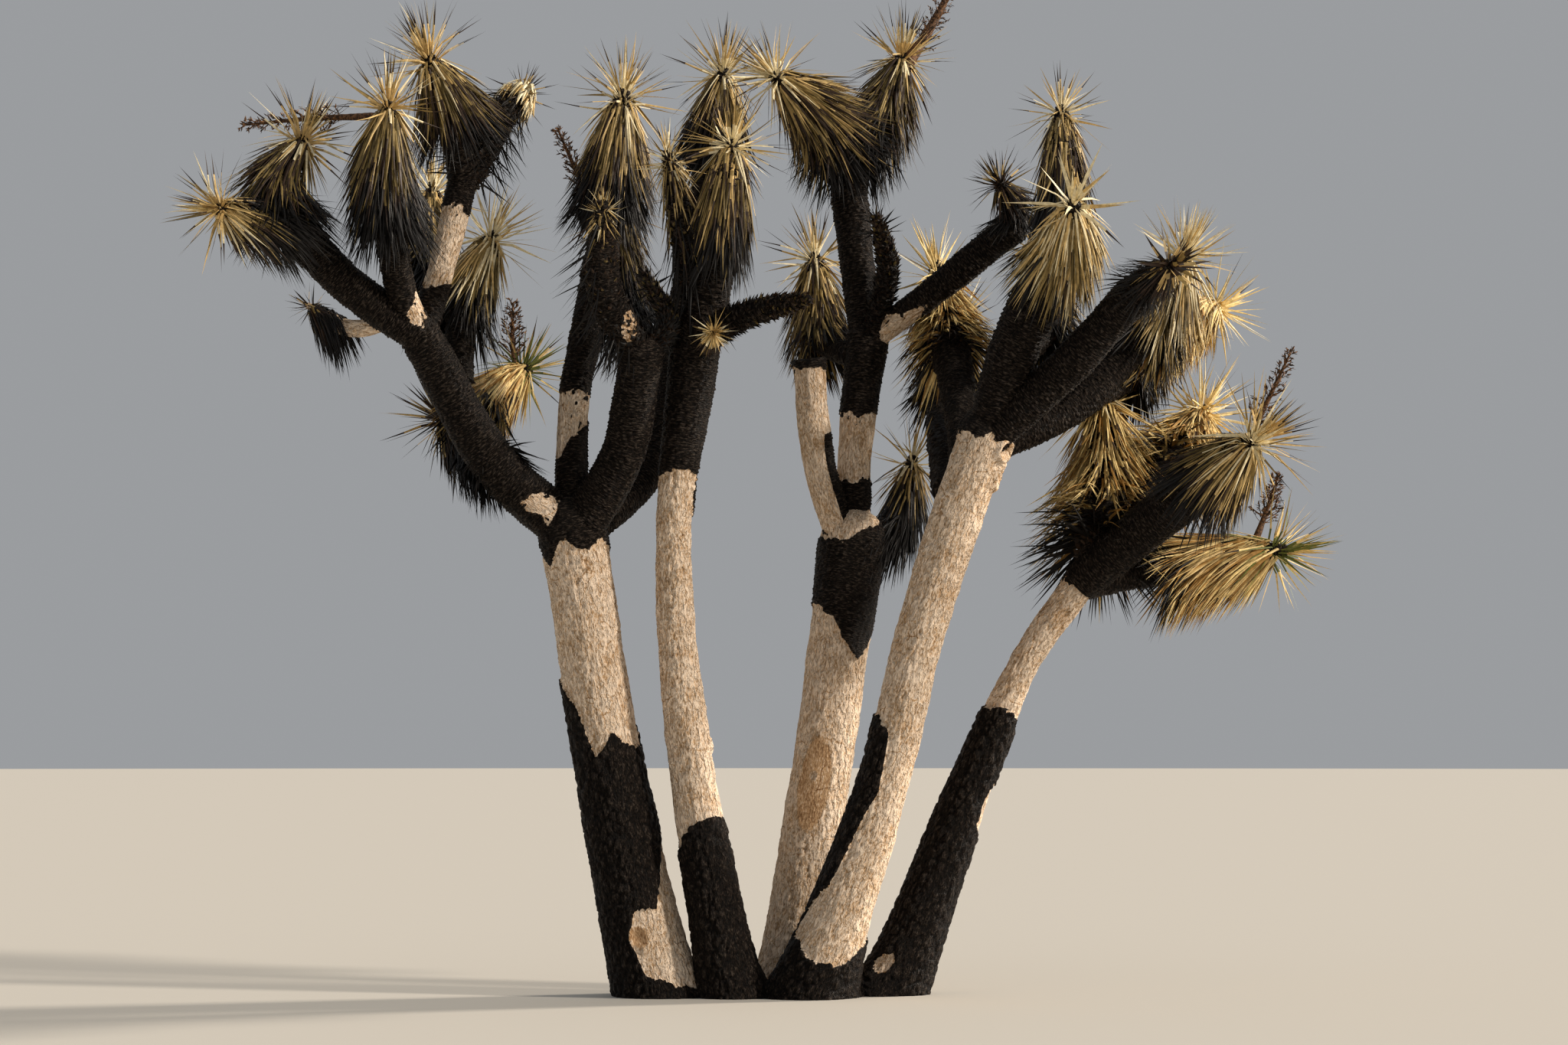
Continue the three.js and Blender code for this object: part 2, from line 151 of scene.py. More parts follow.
WOOD_STOPS = {0.4: "#6e4728", 0.69: "#c9a47b", 0.92: "#f8e2c9"}
SCALE_WIDTH = 22
SCALE_ROW = 6
SCALES = {"Scale": per_metre(SCALE_WIDTH), "Detail": 3, "Roughness": 0.6}
SCALE_TOPS = {"From Min": 0.3, "From Max": 0.7}
BLOCK_TOPS = {**SCALE_TOPS, "To Max": 0.75}
SCALES_START = {"From Min": 1.55, "From Max": 1.75}
GRIT = {"Scale": per_metre(7), "Detail": 5, "Roughness": 0.65}
GRIT_SHARE = 0.5
# Char tone rises with relief: ash and a painted glint on ridges, painted shade in the gaps.
CHAR_RIDGE_ASH_AND_GLINT_SHARE = 0.4
CHAR_TONE = {"From Min": 0.5, "From Max": 1.3}
CHAR_STOPS = {0.1: "#050302", 0.52: "#1e1610", 0.9: "#4a4139"}
TATTER = {"Scale": per_metre(14), "Detail": 5}
TATTER_REACH = 0.022
EDGE_SOFTNESS = 0.0015
EDGE = {"From Min": TATTER_REACH / 2 - EDGE_SOFTNESS, "From Max": TATTER_REACH / 2 + EDGE_SOFTNESS}
ROUGHNESS = {"To Min": 0.9, "To Max": 0.54}
RELIEF_DEPTH = 0.011
PLATE_RELIEF_SHARE = 1.3
SMOOTH_STAINS = {"From Min": -0.5, "From Max": -0.1, "To Min": 0.12}


def add_node(tree, kind, inputs=None, stops=None, **settings):
    """A node with its settings. Each input is a value, a socket to link, or a node whose first output is
    linked. A colour ramp's stops are hex colours by their places on it."""
    node = tree.nodes.new("ShaderNode" + kind)
    for name, value in settings.items():
        setattr(node, name, value)
    for name, value in (inputs or {}).items():
        value = value.outputs[0] if isinstance(value, bpy.types.Node) else value
        if isinstance(value, bpy.types.NodeSocket):
            tree.links.new(value, node.inputs[name])
        else:
            node.inputs[name].default_value = value
    for i, (position, colour) in enumerate((stops or {}).items()):
        stop = node.color_ramp.elements[i] if i < 2 else node.color_ramp.elements.new(position)
        stop.position = position
        stop.color = linear(colour)
    return node


bark, bark_shader = new_material("charred_bark_over_bare_wood", {"Specular IOR Level": 0.12})
nodes = bark.node_tree
place = add_node(nodes, "TexCoord").outputs["Object"]
burn = add_node(nodes, "Attribute", attribute_name="burn").outputs["Fac"]
ridge = add_node(nodes, "Attribute", attribute_name="ridge").outputs["Fac"]
straight = add_node(nodes, "Attribute", attribute_name="straight").outputs["Vector"]

# The wood's tone is its flakes, with its blotches, ridges and plates added, and with dark dry cracks that
# wander across it where it is blotched. The ridges and plates paint highlight on raised wood and painted
# shade in its fissures and recesses, and the ridges also carry the knots' stains.
along_grain = add_node(nodes, "Mapping", {"Vector": straight, "Scale": (1, 1, GRAIN_STRETCH)})
flakes = add_node(nodes, "TexNoise", {"Vector": along_grain, **FLAKES})
plates = add_node(nodes, "TexNoise", {"Vector": along_grain, **PLATES})
plate = add_node(nodes, "MapRange", {"Value": plates, **PLATE_EDGES}, interpolation_type="SMOOTHSTEP")
blotches = add_node(nodes, "TexNoise", {"Vector": place, **BLOTCHES})
wander = add_node(nodes, "TexNoise", {"Vector": straight, **WANDER}).outputs["Color"]
wandered = add_node(nodes, "VectorMath", {0: wander, 1: WANDER_REACH, 2: straight}, operation="MULTIPLY_ADD")
squashed = add_node(nodes, "Mapping", {"Vector": wandered, "Scale": (1, 1, CRACK_SQUASH)})
cracks = add_node(nodes, "TexVoronoi", {"Vector": squashed, **CRACKS}, feature="DISTANCE_TO_EDGE")
crack = add_node(nodes, "MapRange", {"Value": cracks, **CRACK_WIDTH})
crack_tone = add_node(nodes, "MapRange", {"Value": blotches, **CRACK_TONE})
tone = flakes
added = {blotches: BLOTCH_SHARE, ridge: WOOD_RIDGE_SHADING_AND_STAIN_SHARE, plate: PLATE_SHADING_SHARE, crack: crack_tone}
for part, share in added.items():
    tone = add_node(nodes, "Math", {0: part, 1: share, 2: tone}, operation="MULTIPLY_ADD")
wood_colour = add_node(nodes, "ValToRGB", {"Fac": tone}, WOOD_STOPS)

# The char stands up in blocks below and scales above, with grit over both. It is lighter on its ridges and
# scale tops, partly as its own ash and partly as a painted glint, and near black in its gaps as painted
# shade.
shingled = add_node(nodes, "Mapping", {"Vector": straight, "Scale": (1, 1, SCALE_WIDTH / SCALE_ROW)})
scales = add_node(nodes, "TexNoise", {"Vector": shingled, **SCALES})
scale = add_node(nodes, "MapRange", {"Value": scales, **SCALE_TOPS})
block = add_node(nodes, "MapRange", {"Value": flakes, **BLOCK_TOPS})
altitude = add_node(nodes, "SeparateXYZ", {"Vector": place}).outputs["Z"]
aloft = add_node(nodes, "MapRange", {"Value": altitude, **SCALES_START})
scaly = add_node(nodes, "Mix", {"Factor": aloft, 2: block, 3: scale})
grit = add_node(nodes, "TexNoise", {"Vector": place, **GRIT})
gritty = add_node(nodes, "Math", {0: grit, 1: GRIT_SHARE, 2: scaly}, operation="MULTIPLY_ADD")
ridged = add_node(nodes, "Math", {0: ridge, 1: CHAR_RIDGE_ASH_AND_GLINT_SHARE, 2: gritty}, operation="MULTIPLY_ADD")
char_tone = add_node(nodes, "MapRange", {"Value": ridged, **CHAR_TONE})
char_colour = add_node(nodes, "ValToRGB", {"Fac": char_tone}, CHAR_STOPS)

# The edge between the two is tattered. The wood's plates stand up, except where an old wound healed smooth.
tatter = add_node(nodes, "TexNoise", {"Vector": place, **TATTER})
edge = add_node(nodes, "Math", {0: tatter, 1: TATTER_REACH, 2: burn}, operation="MULTIPLY_ADD")
charred = add_node(nodes, "MapRange", {"Value": edge, **EDGE}, interpolation_type="SMOOTHSTEP")
colour = add_node(nodes, "Mix", {"Factor": charred, 6: wood_colour, 7: char_colour}, data_type="RGBA")
roughness = add_node(nodes, "MapRange", {"Value": charred, **ROUGHNESS})
flaked = add_node(nodes, "Math", {0: plate, 1: PLATE_RELIEF_SHARE, 2: flakes}, operation="MULTIPLY_ADD")
height = add_node(nodes, "Mix", {"Factor": charred, 2: flaked, 3: gritty})
strength = add_node(nodes, "MapRange", {"Value": ridge, **SMOOTH_STAINS})
relief = add_node(nodes, "Bump", {"Height": height, "Distance": RELIEF_DEPTH, "Strength": strength})
nodes.links.new(colour.outputs[2], bark_shader.inputs["Base Color"])
nodes.links.new(roughness.outputs[0], bark_shader.inputs["Roughness"])
nodes.links.new(relief.outputs[0], bark_shader.inputs["Normal"])

# The stems. Each leans out from the shared crown with its own taper and root flare. The fire climbed each
# one from the litter at its foot and from the burning skirts above, and left the middle bare.

# Joints and radii are in centimetres, as in the part's source, and other lengths in metres. A root is a lobe
# of the flare: its direction, and its reach as a share of the radius. A charred or bare band is a row of
# (angle round the stem, lowest height, highest height), where 0 degrees faces the viewer and 90 the right.
# A knot is a healed wound: (angle, height, half width, half height, lip, stain). A limb's end is rings of
# (share of the radius, height as a share of it). The edge of the char waves and crumbles at these sizes by
# these reaches.
CM = 0.01
STEM_MESH = dict(sides=128, spacing=0.0065)
FEWEST_RINGS = 6
ROOT_FLARE_HEIGHT = 0.16
BURIED = 0.12
CHAR_THICKNESS = 0.008
BURNT_EDGE = 0.008
DEEPEST = 0.1
EDGE_WAVE = np.array([0.06, 0.06, 0.1])
EDGE_WAVE_REACH = 0.022
EDGE_CRUMB = 0.022
EDGE_CRUMB_REACH = 0.018
SLENDER = 0.03
NARROWEST_PATTERN = 0.02
LUMPS = 0.007
WOOD_RELIEF = 0.008
CHAR_RELIEF = 0.014
STEM_LUMP = np.array([0.16, 0.16, 0.3])
COARSE_FLAKE = np.array([0.022, 0.022, 0.07])
FINE_FLAKE = np.array([0.011, 0.011, 0.03])
CHAR_BLOCK = np.array([0.032, 0.032, 0.07])
BLOCK_GAP = 0.28
CHAR_LUMP = 0.018
SCARS = dict(row=0.018, width=0.034)
SCARS_START = 1.7
SCARS_FADE = 0.2
UNDER = -1
OVER = 9
ROUND_END = [(math.cos(a), 0.55 * math.sin(a)) for a in np.radians([15, 35, 55, 75, 88])]
FORKED_END = [(math.cos(a) ** 0.8, 1.05 * math.sin(a)) for a in np.radians([10, 25, 40, 55, 70, 80, 88])]

stems = {
    "front_stem": dict(
        through=[[0, 0, 0], [36, -5, 102], [58, -10, 191], [89, -15, 285]], radii=[18.5, 12.3, 12.3, 13.5],
        roots=[[-0.95, 0.05, 0.35], [0.85, 0.5, 0.9], [-0.3, 0.95, 0.3]],
        charred=[
            [(-180, UNDER, 1.2), (-120, UNDER, 1.4), (-96, UNDER, 1.43), (-80, 0.45, 1.43),
             (-60, 0.5, 1.43), (-43, 0.56, 1.4), (-33, 0.71, 1.37), (-25, 0.88, 1.35), (-19, 0.95, 1.33),
             (-9, 1.04, 1.06), (0, 1.1, 1.0), (120, 1.1, 1.0), (150, 0.3, 1.0)],
            [(-180, UNDER, 0.4), (-60, UNDER, 0.3), (-20, UNDER, 0.2), (20, UNDER, 0.16), (60, UNDER, 0.25),
             (120, UNDER, 0.3)],
            [(-180, 2.82, OVER), (-60, 2.87, OVER), (-10, 2.83, OVER), (30, 2.88, OVER), (120, 2.85, OVER)],
        ],
        knots=[
            (58, 2.77, 0.05, 0.05, 0.03, 0.3),
            (78, 2.64, 0.04, 0.06, 0.022, 0.1),
            (-5, 2.5, 0.07, 0.09, 0.004, 0),
        ],
    ),
    "left_stem": dict(
        through=[[-78, 12, 0], [-103, 5, 123], [-121, -5, 238]], radii=[21, 16.5, 16.5],
        roots=[[1, -0.25, 0.3], [-0.6, 0.8, 0.2]],
        charred=[
            [(-180, UNDER, 1.45), (-90, UNDER, 1.62), (-35, UNDER, 1.45), (-19, UNDER, 1.22),
             (3, UNDER, 1.28), (15, UNDER, 1.35), (45, UNDER, 1.28), (90, UNDER, 1.27), (135, UNDER, 1.5)],
            [(-180, 2.3, OVER), (-90, 2.3, OVER), (-50, 2.18, OVER), (-20, 2.32, OVER), (20, 2.27, OVER),
             (60, 2.33, OVER), (120, 2.25, OVER)],
        ],
        bare=[
            [(-25, 0.4, 0.2), (-15, 0.26, 0.34), (-5, 0.12, 0.43), (30, 0.07, 0.46), (53, 0.06, 0.64),
             (90, 0.05, 0.9), (125, 0.1, 0.75), (150, 0.4, 0.2)],
        ],
        knots=[(-5, 0.31, 0.045, 0.055, 0.01, 1), (20, 2.2, 0.03, 0.03, 0.01, 0.5)]),
    "slim_stem": dict(
        through=[[-40, 2, 0], [-64, -3, 147], [-69, -10, 238], [-58, -18, 329]], radii=[14, 10.5, 8.2, 12],
        roots=[[-1, 0.2, 0.25], [1, 0, 0.5]],
        charred=[
            [(-180, UNDER, 0.9), (-80, UNDER, 0.73), (-25, UNDER, 0.88), (70, UNDER, 0.92),
             (90, UNDER, 0.7), (130, UNDER, 0.85)],
            [(-180, 2.66, OVER), (-60, 2.65, OVER), (0, 2.68, OVER), (90, 2.66, OVER)],
            [(66, 2.6, 2.4), (74, 2.5, 2.6), (84, 2.46, 2.62), (100, 2.44, 2.6), (112, 2.6, 2.4)],
        ],
        knots=[(80, 1.28, 0.02, 0.03, 0.014, 0), (30, 2.15, 0.03, 0.04, 0.006, 0.3)]),
    "back_stem": dict(
        through=[[-10, 42, 0], [10, 50, 137], [23, 60, 236]], radii=[17.5, 15.3, 16.5],
        roots=[[0.2, -1, 0.7], [-0.8, -0.6, 0.3], [0.9, -0.3, 0.3]],
        charred=[
            [(-180, 2.0, 2.38), (-54, 2.02, 2.37), (-14, 1.94, 2.35), (5, 1.84, 2.39), (42, 1.71, 2.42),
             (90, 1.9, 2.5), (130, 2.0, 2.45)],
        ],
        knots=[(-12, 1.08, 0.085, 0.25, 0.005, 0.9), (-14, 1.12, 0.018, 0.025, 0.008, -0.8)]),
    "right_stem": dict(
        through=[[44, 26, 0], [81, 28, 100], [112, 26, 171], [141, 22, 213]], radii=[16, 10.8, 7.4, 8.2],
        roots=[[-0.85, -0.5, 0.7], [0.7, 0.5, 0.15]],
        charred=[
            [(-180, UNDER, 1.4), (-90, UNDER, 1.47), (0, UNDER, 1.47), (60, UNDER, 1.42), (120, UNDER, 1.3)],
            [(-180, 2.1, OVER), (-60, 2.13, OVER), (20, 2.08, OVER), (100, 2.12, OVER)],
        ],
        bare=[
            [(40, 1.0, 0.8), (52, 0.86, 1.04), (80, 0.8, 1.1), (120, 0.7, 1.05), (150, 0.9, 0.8)],
            [(-70, 0.3, 0.1), (-45, 0.13, 0.22), (-25, 0.12, 0.21), (-10, 0.3, 0.1)],
        ],
        knots=[(10, 1.95, 0.028, 0.04, 0.009, 0.4)]),
}


def unit(vectors):
    return vectors / np.linalg.norm(vectors, axis=-1, keepdims=True)


def steps_along(points):
    """How far each point of a line is from the one before it."""
    return np.linalg.norm(np.diff(points, axis=0), axis=1)


def curve_at(through, t):
    """Points and directions of the centripetal curve through the joints, at shares t of the way."""
    joints = np.array(through, float) * CM
    padded = np.vstack([2 * joints[0] - joints[1], joints, 2 * joints[-1] - joints[-2]])
    span = np.minimum((t * (len(joints) - 1)).astype(int), len(joints) - 2)
    s = (t * (len(joints) - 1) - span)[:, None]
    p0, p1, p2, p3 = (padded[span + i] for i in range(4))
    d0, d1, d2 = (np.linalg.norm(b - a, axis=1)[:, None] ** 0.5 for a, b in ((p0, p1), (p1, p2), (p2, p3)))
    leave = ((p1 - p0) / d0 - (p2 - p0) / (d0 + d1) + (p2 - p1) / d1) * d1
    arrive = ((p2 - p1) / d1 - (p3 - p1) / (d1 + d2) + (p3 - p2) / d2) * d1
    second = 3 * (p2 - p1) - 2 * leave - arrive
    third = 2 * (p1 - p2) + leave + arrive
    return p1 + s * (leave + s * (second + s * third)), unit(leave + s * (2 * second + 3 * s * third))


def curve_length(through, steps):
    """How long the curve is, in metres, measured in this many steps."""
    return steps_along(curve_at(through, np.linspace(0, 1, steps))[0]).sum()


def frames_along(through, t):
    """Points along a limb, its direction there, and two directions across it that don't twist."""
    at, along = curve_at(through, t)
    normal = unit(np.array([0.2, 1, 0.1]))
    if abs(normal @ along[0]) > 0.9:
        normal = np.array([1.0, 0, 0])
    normals = []
    for direction in along:
        normal = unit(normal - direction * (normal @ direction))
        normals.append(normal)
    return at, along, np.array(normals), np.cross(normals, along)


def eased(t, values):
    """The value at shares t of the way through evenly spaced values, with the corners rounded off."""
    knots = np.linspace(0, 1, len(values))
    return np.mean([np.interp(t + shift, knots, values) for shift in np.linspace(-0.07, 0.07, 7)], axis=0)


def bumps(points, size, seed):
    """Smooth noise from -1 to 1 with features of this size in metres, one number or three."""
    return np.array([noise.noise(p) for p in (points / size + 17.3 * seed).tolist()])


def scattered(*whole_numbers):
    """A repeatable number from 0 to 1 for each row of whole numbers."""
    mixed = sum(n * k for n, k in zip(whole_numbers, (12.9898, 78.233, 37.719)))
    return np.modf(np.abs(np.sin(mixed)) * 43758.5453)[0]


def leaf_scars(straight, radius, row, width):
    """The shingled stubs of old leaves: each is highest at its lower edge, and its sides are rounded."""
    angle = np.arctan2(straight[:, 1], straight[:, 0])
    place = straight[:, 2] / row + 0.5 * bumps(straight, 0.06, 3)
    level = np.floor(place)
    count = np.maximum(np.round(2 * math.pi * radius / width), 6)
    across = (angle / (2 * math.pi)) * count + 2 * scattered(level)
    column = np.mod(np.floor(across), count)
    tall = 0.35 + 0.65 * scattered(level, column)
    profile = 1 - np.abs(2 * (across - np.floor(across)) - 1) ** 3
    return tall * profile * (1 - (place - level)) ** 0.8


def char_blocks(straight):
    """Charcoal that has shrunk into upright blocks with cracks between them."""
    near = [noise.voronoi(p)[0] for p in (straight / CHAR_BLOCK).tolist()]
    gap = np.array([distances[1] - distances[0] for distances in near])
    return np.clip(gap / BLOCK_GAP, 0, 1)


def band_depth(band, angle, height):
    """How far inside a band each point lies, in metres, less than nothing outside it."""
    angles, low, high = np.array(band, float).T
    bottom = np.interp(angle, angles, low, period=360)
    top = np.interp(angle, angles, high, period=360)
    return np.minimum(height - bottom, top - height)


def burn_depth(charred, bare, angle, height, straight):
    """How far inside the charred part each point lies, with a ragged edge."""
    ragged = EDGE_WAVE_REACH * bumps(straight, EDGE_WAVE, 5)
    ragged += EDGE_CRUMB_REACH * bumps(straight, EDGE_CRUMB, 6)
    depth = np.full(len(angle), -2 * DEEPEST)
    for band in charred:
        depth = np.maximum(depth, band_depth(band, angle, height) + ragged)
    for band in bare:
        depth = np.minimum(depth, -band_depth(band, angle, height) + ragged)
    return np.clip(depth, -DEEPEST, DEEPEST)


def burnt_share(depth):
    """How much of the char's relief a point takes: none in the wood, all of it inside the charred part."""
    return np.clip(depth / BURNT_EDGE + 0.5, 0, 1)


def limb_mesh(name, limb, surface, sides, spacing, end=ROUND_END, swell=None):
    """A cylinder bent along a limb's curve. Surface gives the relief and the marks of each point, and the
    relief fades out where the limb is slender."""
    body = max(FEWEST_RINGS, round(curve_length(limb["through"], 60) / spacing))
    rings = body + len(end)
    bm = bmesh.new()
    bmesh.ops.create_cone(bm, cap_ends=True, segments=sides, radius1=1, radius2=1, depth=1)
    upright = [e for e in bm.edges if abs(e.verts[0].co.z - e.verts[1].co.z) > 0.5]
    bmesh.ops.subdivide_edges(bm, edges=upright, cuts=rings - 1, use_grid_fill=True)
    mesh = bpy.data.meshes.new(name)
    bm.to_mesh(mesh)
    bm.free()

    unwrapped = np.zeros(len(mesh.vertices) * 3)
    mesh.vertices.foreach_get("co", unwrapped)
    unwrapped = unwrapped.reshape(-1, 3)
    ring = np.rint((unwrapped[:, 2] + 0.5) * rings).astype(int)
    t = np.append(np.linspace(0, 1, body + 1), np.ones(len(end)))
    at, along, normals, aside = frames_along(limb["through"], t)
    radius = eased(t, limb["radii"]) * CM
    for i, (narrowed, lifted) in enumerate(end):
        at[body + 1 + i] += along[-1] * lifted * radius[body]
        radius[body + 1 + i] *= narrowed
    travelled = np.append(0, np.cumsum(steps_along(at)))
    outward = normals[ring] * unwrapped[:, :1] + aside[ring] * unwrapped[:, 1:2]
    wide = radius[ring] * (swell(at[ring], outward) if swell else 1)
    girth = np.maximum(wide, NARROWEST_PATTERN)[:, None]
    straight = np.hstack([unwrapped[:, :2] * girth, travelled[ring][:, None]])
    angle = np.degrees(np.arctan2(outward[:, 0], -outward[:, 1]))
    places = at[ring] + outward * wide[:, None]
    rise, burnt, ridged = surface(limb, places, angle, straight, girth[:, 0])
    fade = np.clip(wide / SLENDER, 0, 1)
    places += outward * (rise * fade)[:, None]
    mesh.vertices.foreach_set("co", places.ravel())
    for mark, values in (("burn", burnt), ("ridge", ridged)):
        mesh.attributes.new(mark, "FLOAT", "POINT").data.foreach_set("value", values.astype(np.float32))
    kept = mesh.attributes.new("straight", "FLOAT_VECTOR", "POINT")
    kept.data.foreach_set("vector", straight.astype(np.float32).ravel())
    return mesh


def add_piece(mesh, stands_for):
    """Makes a finished mesh the piece that stands for these solids."""
    piece = add_object(mesh.name, mesh)
    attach(piece, "root")
    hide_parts(*stands_for)


def finish_limb(mesh, stands_for, level_cut=False, material=bark):
    """Closes a limb's mesh, turns its faces out, and makes it the piece that stands for its solid."""
    bm = bmesh.new()
    bm.from_mesh(mesh)
    if level_cut:
        whole = bm.verts[:] + bm.edges[:] + bm.faces[:]
        bmesh.ops.bisect_plane(bm, geom=whole, plane_co=(0, 0, 0), plane_no=(0, 0, 1), clear_inner=True)
        bmesh.ops.holes_fill(bm, edges=[e for e in bm.edges if e.is_boundary], sides=0)
    bmesh.ops.recalc_face_normals(bm, faces=bm.faces)
    for face in bm.faces:
        face.smooth = True
    bm.to_mesh(mesh)
    bm.free()
    mesh.materials.append(material)
    add_piece(mesh, [stands_for])


def wood_flakes(straight):
    """Flakes and shallow fissures that run along the grain."""
    return 0.8 * bumps(straight, COARSE_FLAKE, 1) - 1.2 * np.abs(bumps(straight, FINE_FLAKE, 2)) + 0.3


def knot_relief(knots, angle, height, radius):
    """An oval lip round a hollow at each knot. Gives the relief, the share of the flakes that is left, and
    the stain."""
    rise, flaked, stained = np.zeros(len(angle)), np.ones(len(angle)), np.zeros(len(angle))
    for facing, level, wide, tall, lip, stain in knots:
        turned = np.radians((angle - facing + 180) % 360 - 180) * radius
        away = np.hypot(turned / wide, (height - level) / tall)
        rise += lip * np.exp(-(((away - 1) / 0.3) ** 2)) - 0.6 * lip * np.exp(-((away / 0.6) ** 2))
        flaked *= np.clip((away - 0.7) / 0.5, 0.15, 1)
        stained += stain * np.clip((1.05 - away) / 0.12, 0, 1)
    return rise, flaked, stained


def stem_surface(limb, places, angle, straight, radius):
    """Bare wood flaked along its grain, charcoal blocks below, and charred leaf scars above."""
    depth = burn_depth(limb["charred"], limb.get("bare", []), angle, places[:, 2], straight)
    share = burnt_share(depth)
    healed, flaked, stained = knot_relief(limb["knots"], angle, places[:, 2], radius)
    flaky = wood_flakes(straight) * flaked
    upper = np.clip((places[:, 2] - SCARS_START) / SCARS_FADE, 0, 1)
    charcoal = leaf_scars(straight, radius, **SCARS) * upper + char_blocks(straight) * (1 - upper)
    charcoal = 0.7 * charcoal + 0.3 * bumps(straight, CHAR_LUMP, 7)
    rise = LUMPS * bumps(straight, STEM_LUMP, 4) + (1 - share) * WOOD_RELIEF * flaky
    rise = rise + share * (CHAR_THICKNESS + CHAR_RELIEF * charcoal) + healed
    return rise, depth, np.where(share > 0.5, charcoal, 0.5 + 0.5 * flaky - stained)


def flare(roots):
    """How the foot of a stem swells into its roots, as a share of its radius."""
    def swell(at, outward):
        fade = np.exp(-np.maximum(at[:, 2], 0) / ROOT_FLARE_HEIGHT)
        reach = [share * np.maximum(0, outward[:, 0] * x + outward[:, 1] * y) ** 3 for x, y, share in roots]
        return 1 + fade * np.max(reach, axis=0)
    return swell


for name, stem in stems.items():
    foot, above = np.array(stem["through"][:2], float)
    below = foot - BURIED * (above - foot)
    limb = dict(stem, through=[below, *stem["through"]], radii=[stem["radii"][0], *stem["radii"]])
    swell = flare(stem["roots"])
    mesh = limb_mesh(f"{name}_bark", limb, stem_surface, **STEM_MESH, end=FORKED_END, swell=swell)
    finish_limb(mesh, name, level_cut=True)

# The boughs. Each is one tapering limb that forks from a stem or another bough. Nearly all are charred, and
# carry the shingled stubs of the leaves that they bore when they were young. A few lost that bark.

# Bare parts are bands as on the stems, or spots: a middle and a size along x, y and z, in centimetres.
# Shaggy is how far along the bough its stubs turn coarse, as towards its younger end.
HOLLOW_END = [(0.9, 0.12), (0.72, 0.02), (0.6, -0.4), (0.35, -0.55), (0.05, -0.6)]
ALL_ROUND = [(-180, UNDER, OVER), (0, UNDER, OVER)]
BOUGH_MESH = dict(sides=80, spacing=0.0045)
BOUGH_LUMP = np.array([0.1, 0.1, 0.2])
BOUGH_WOOD_RELIEF = 0.004
BOUGH_CHAR_THICKNESS = CHAR_THICKNESS * 0.3
BOUGH_CHAR_LUMP = 0.014
SHAGGY_SCARS = dict(row=0.024, width=0.036)
SHAGGY_FROM = 0.8
SHAGGY_FADE = 0.15
SHAGGY_RELIEF = 0.006
SPOT_CRUMB = 0.03
SPOT_CRUMB_REACH = 0.012
FLECK = np.array([0.022, 0.022, 0.04])
FLECK_START = 0.3

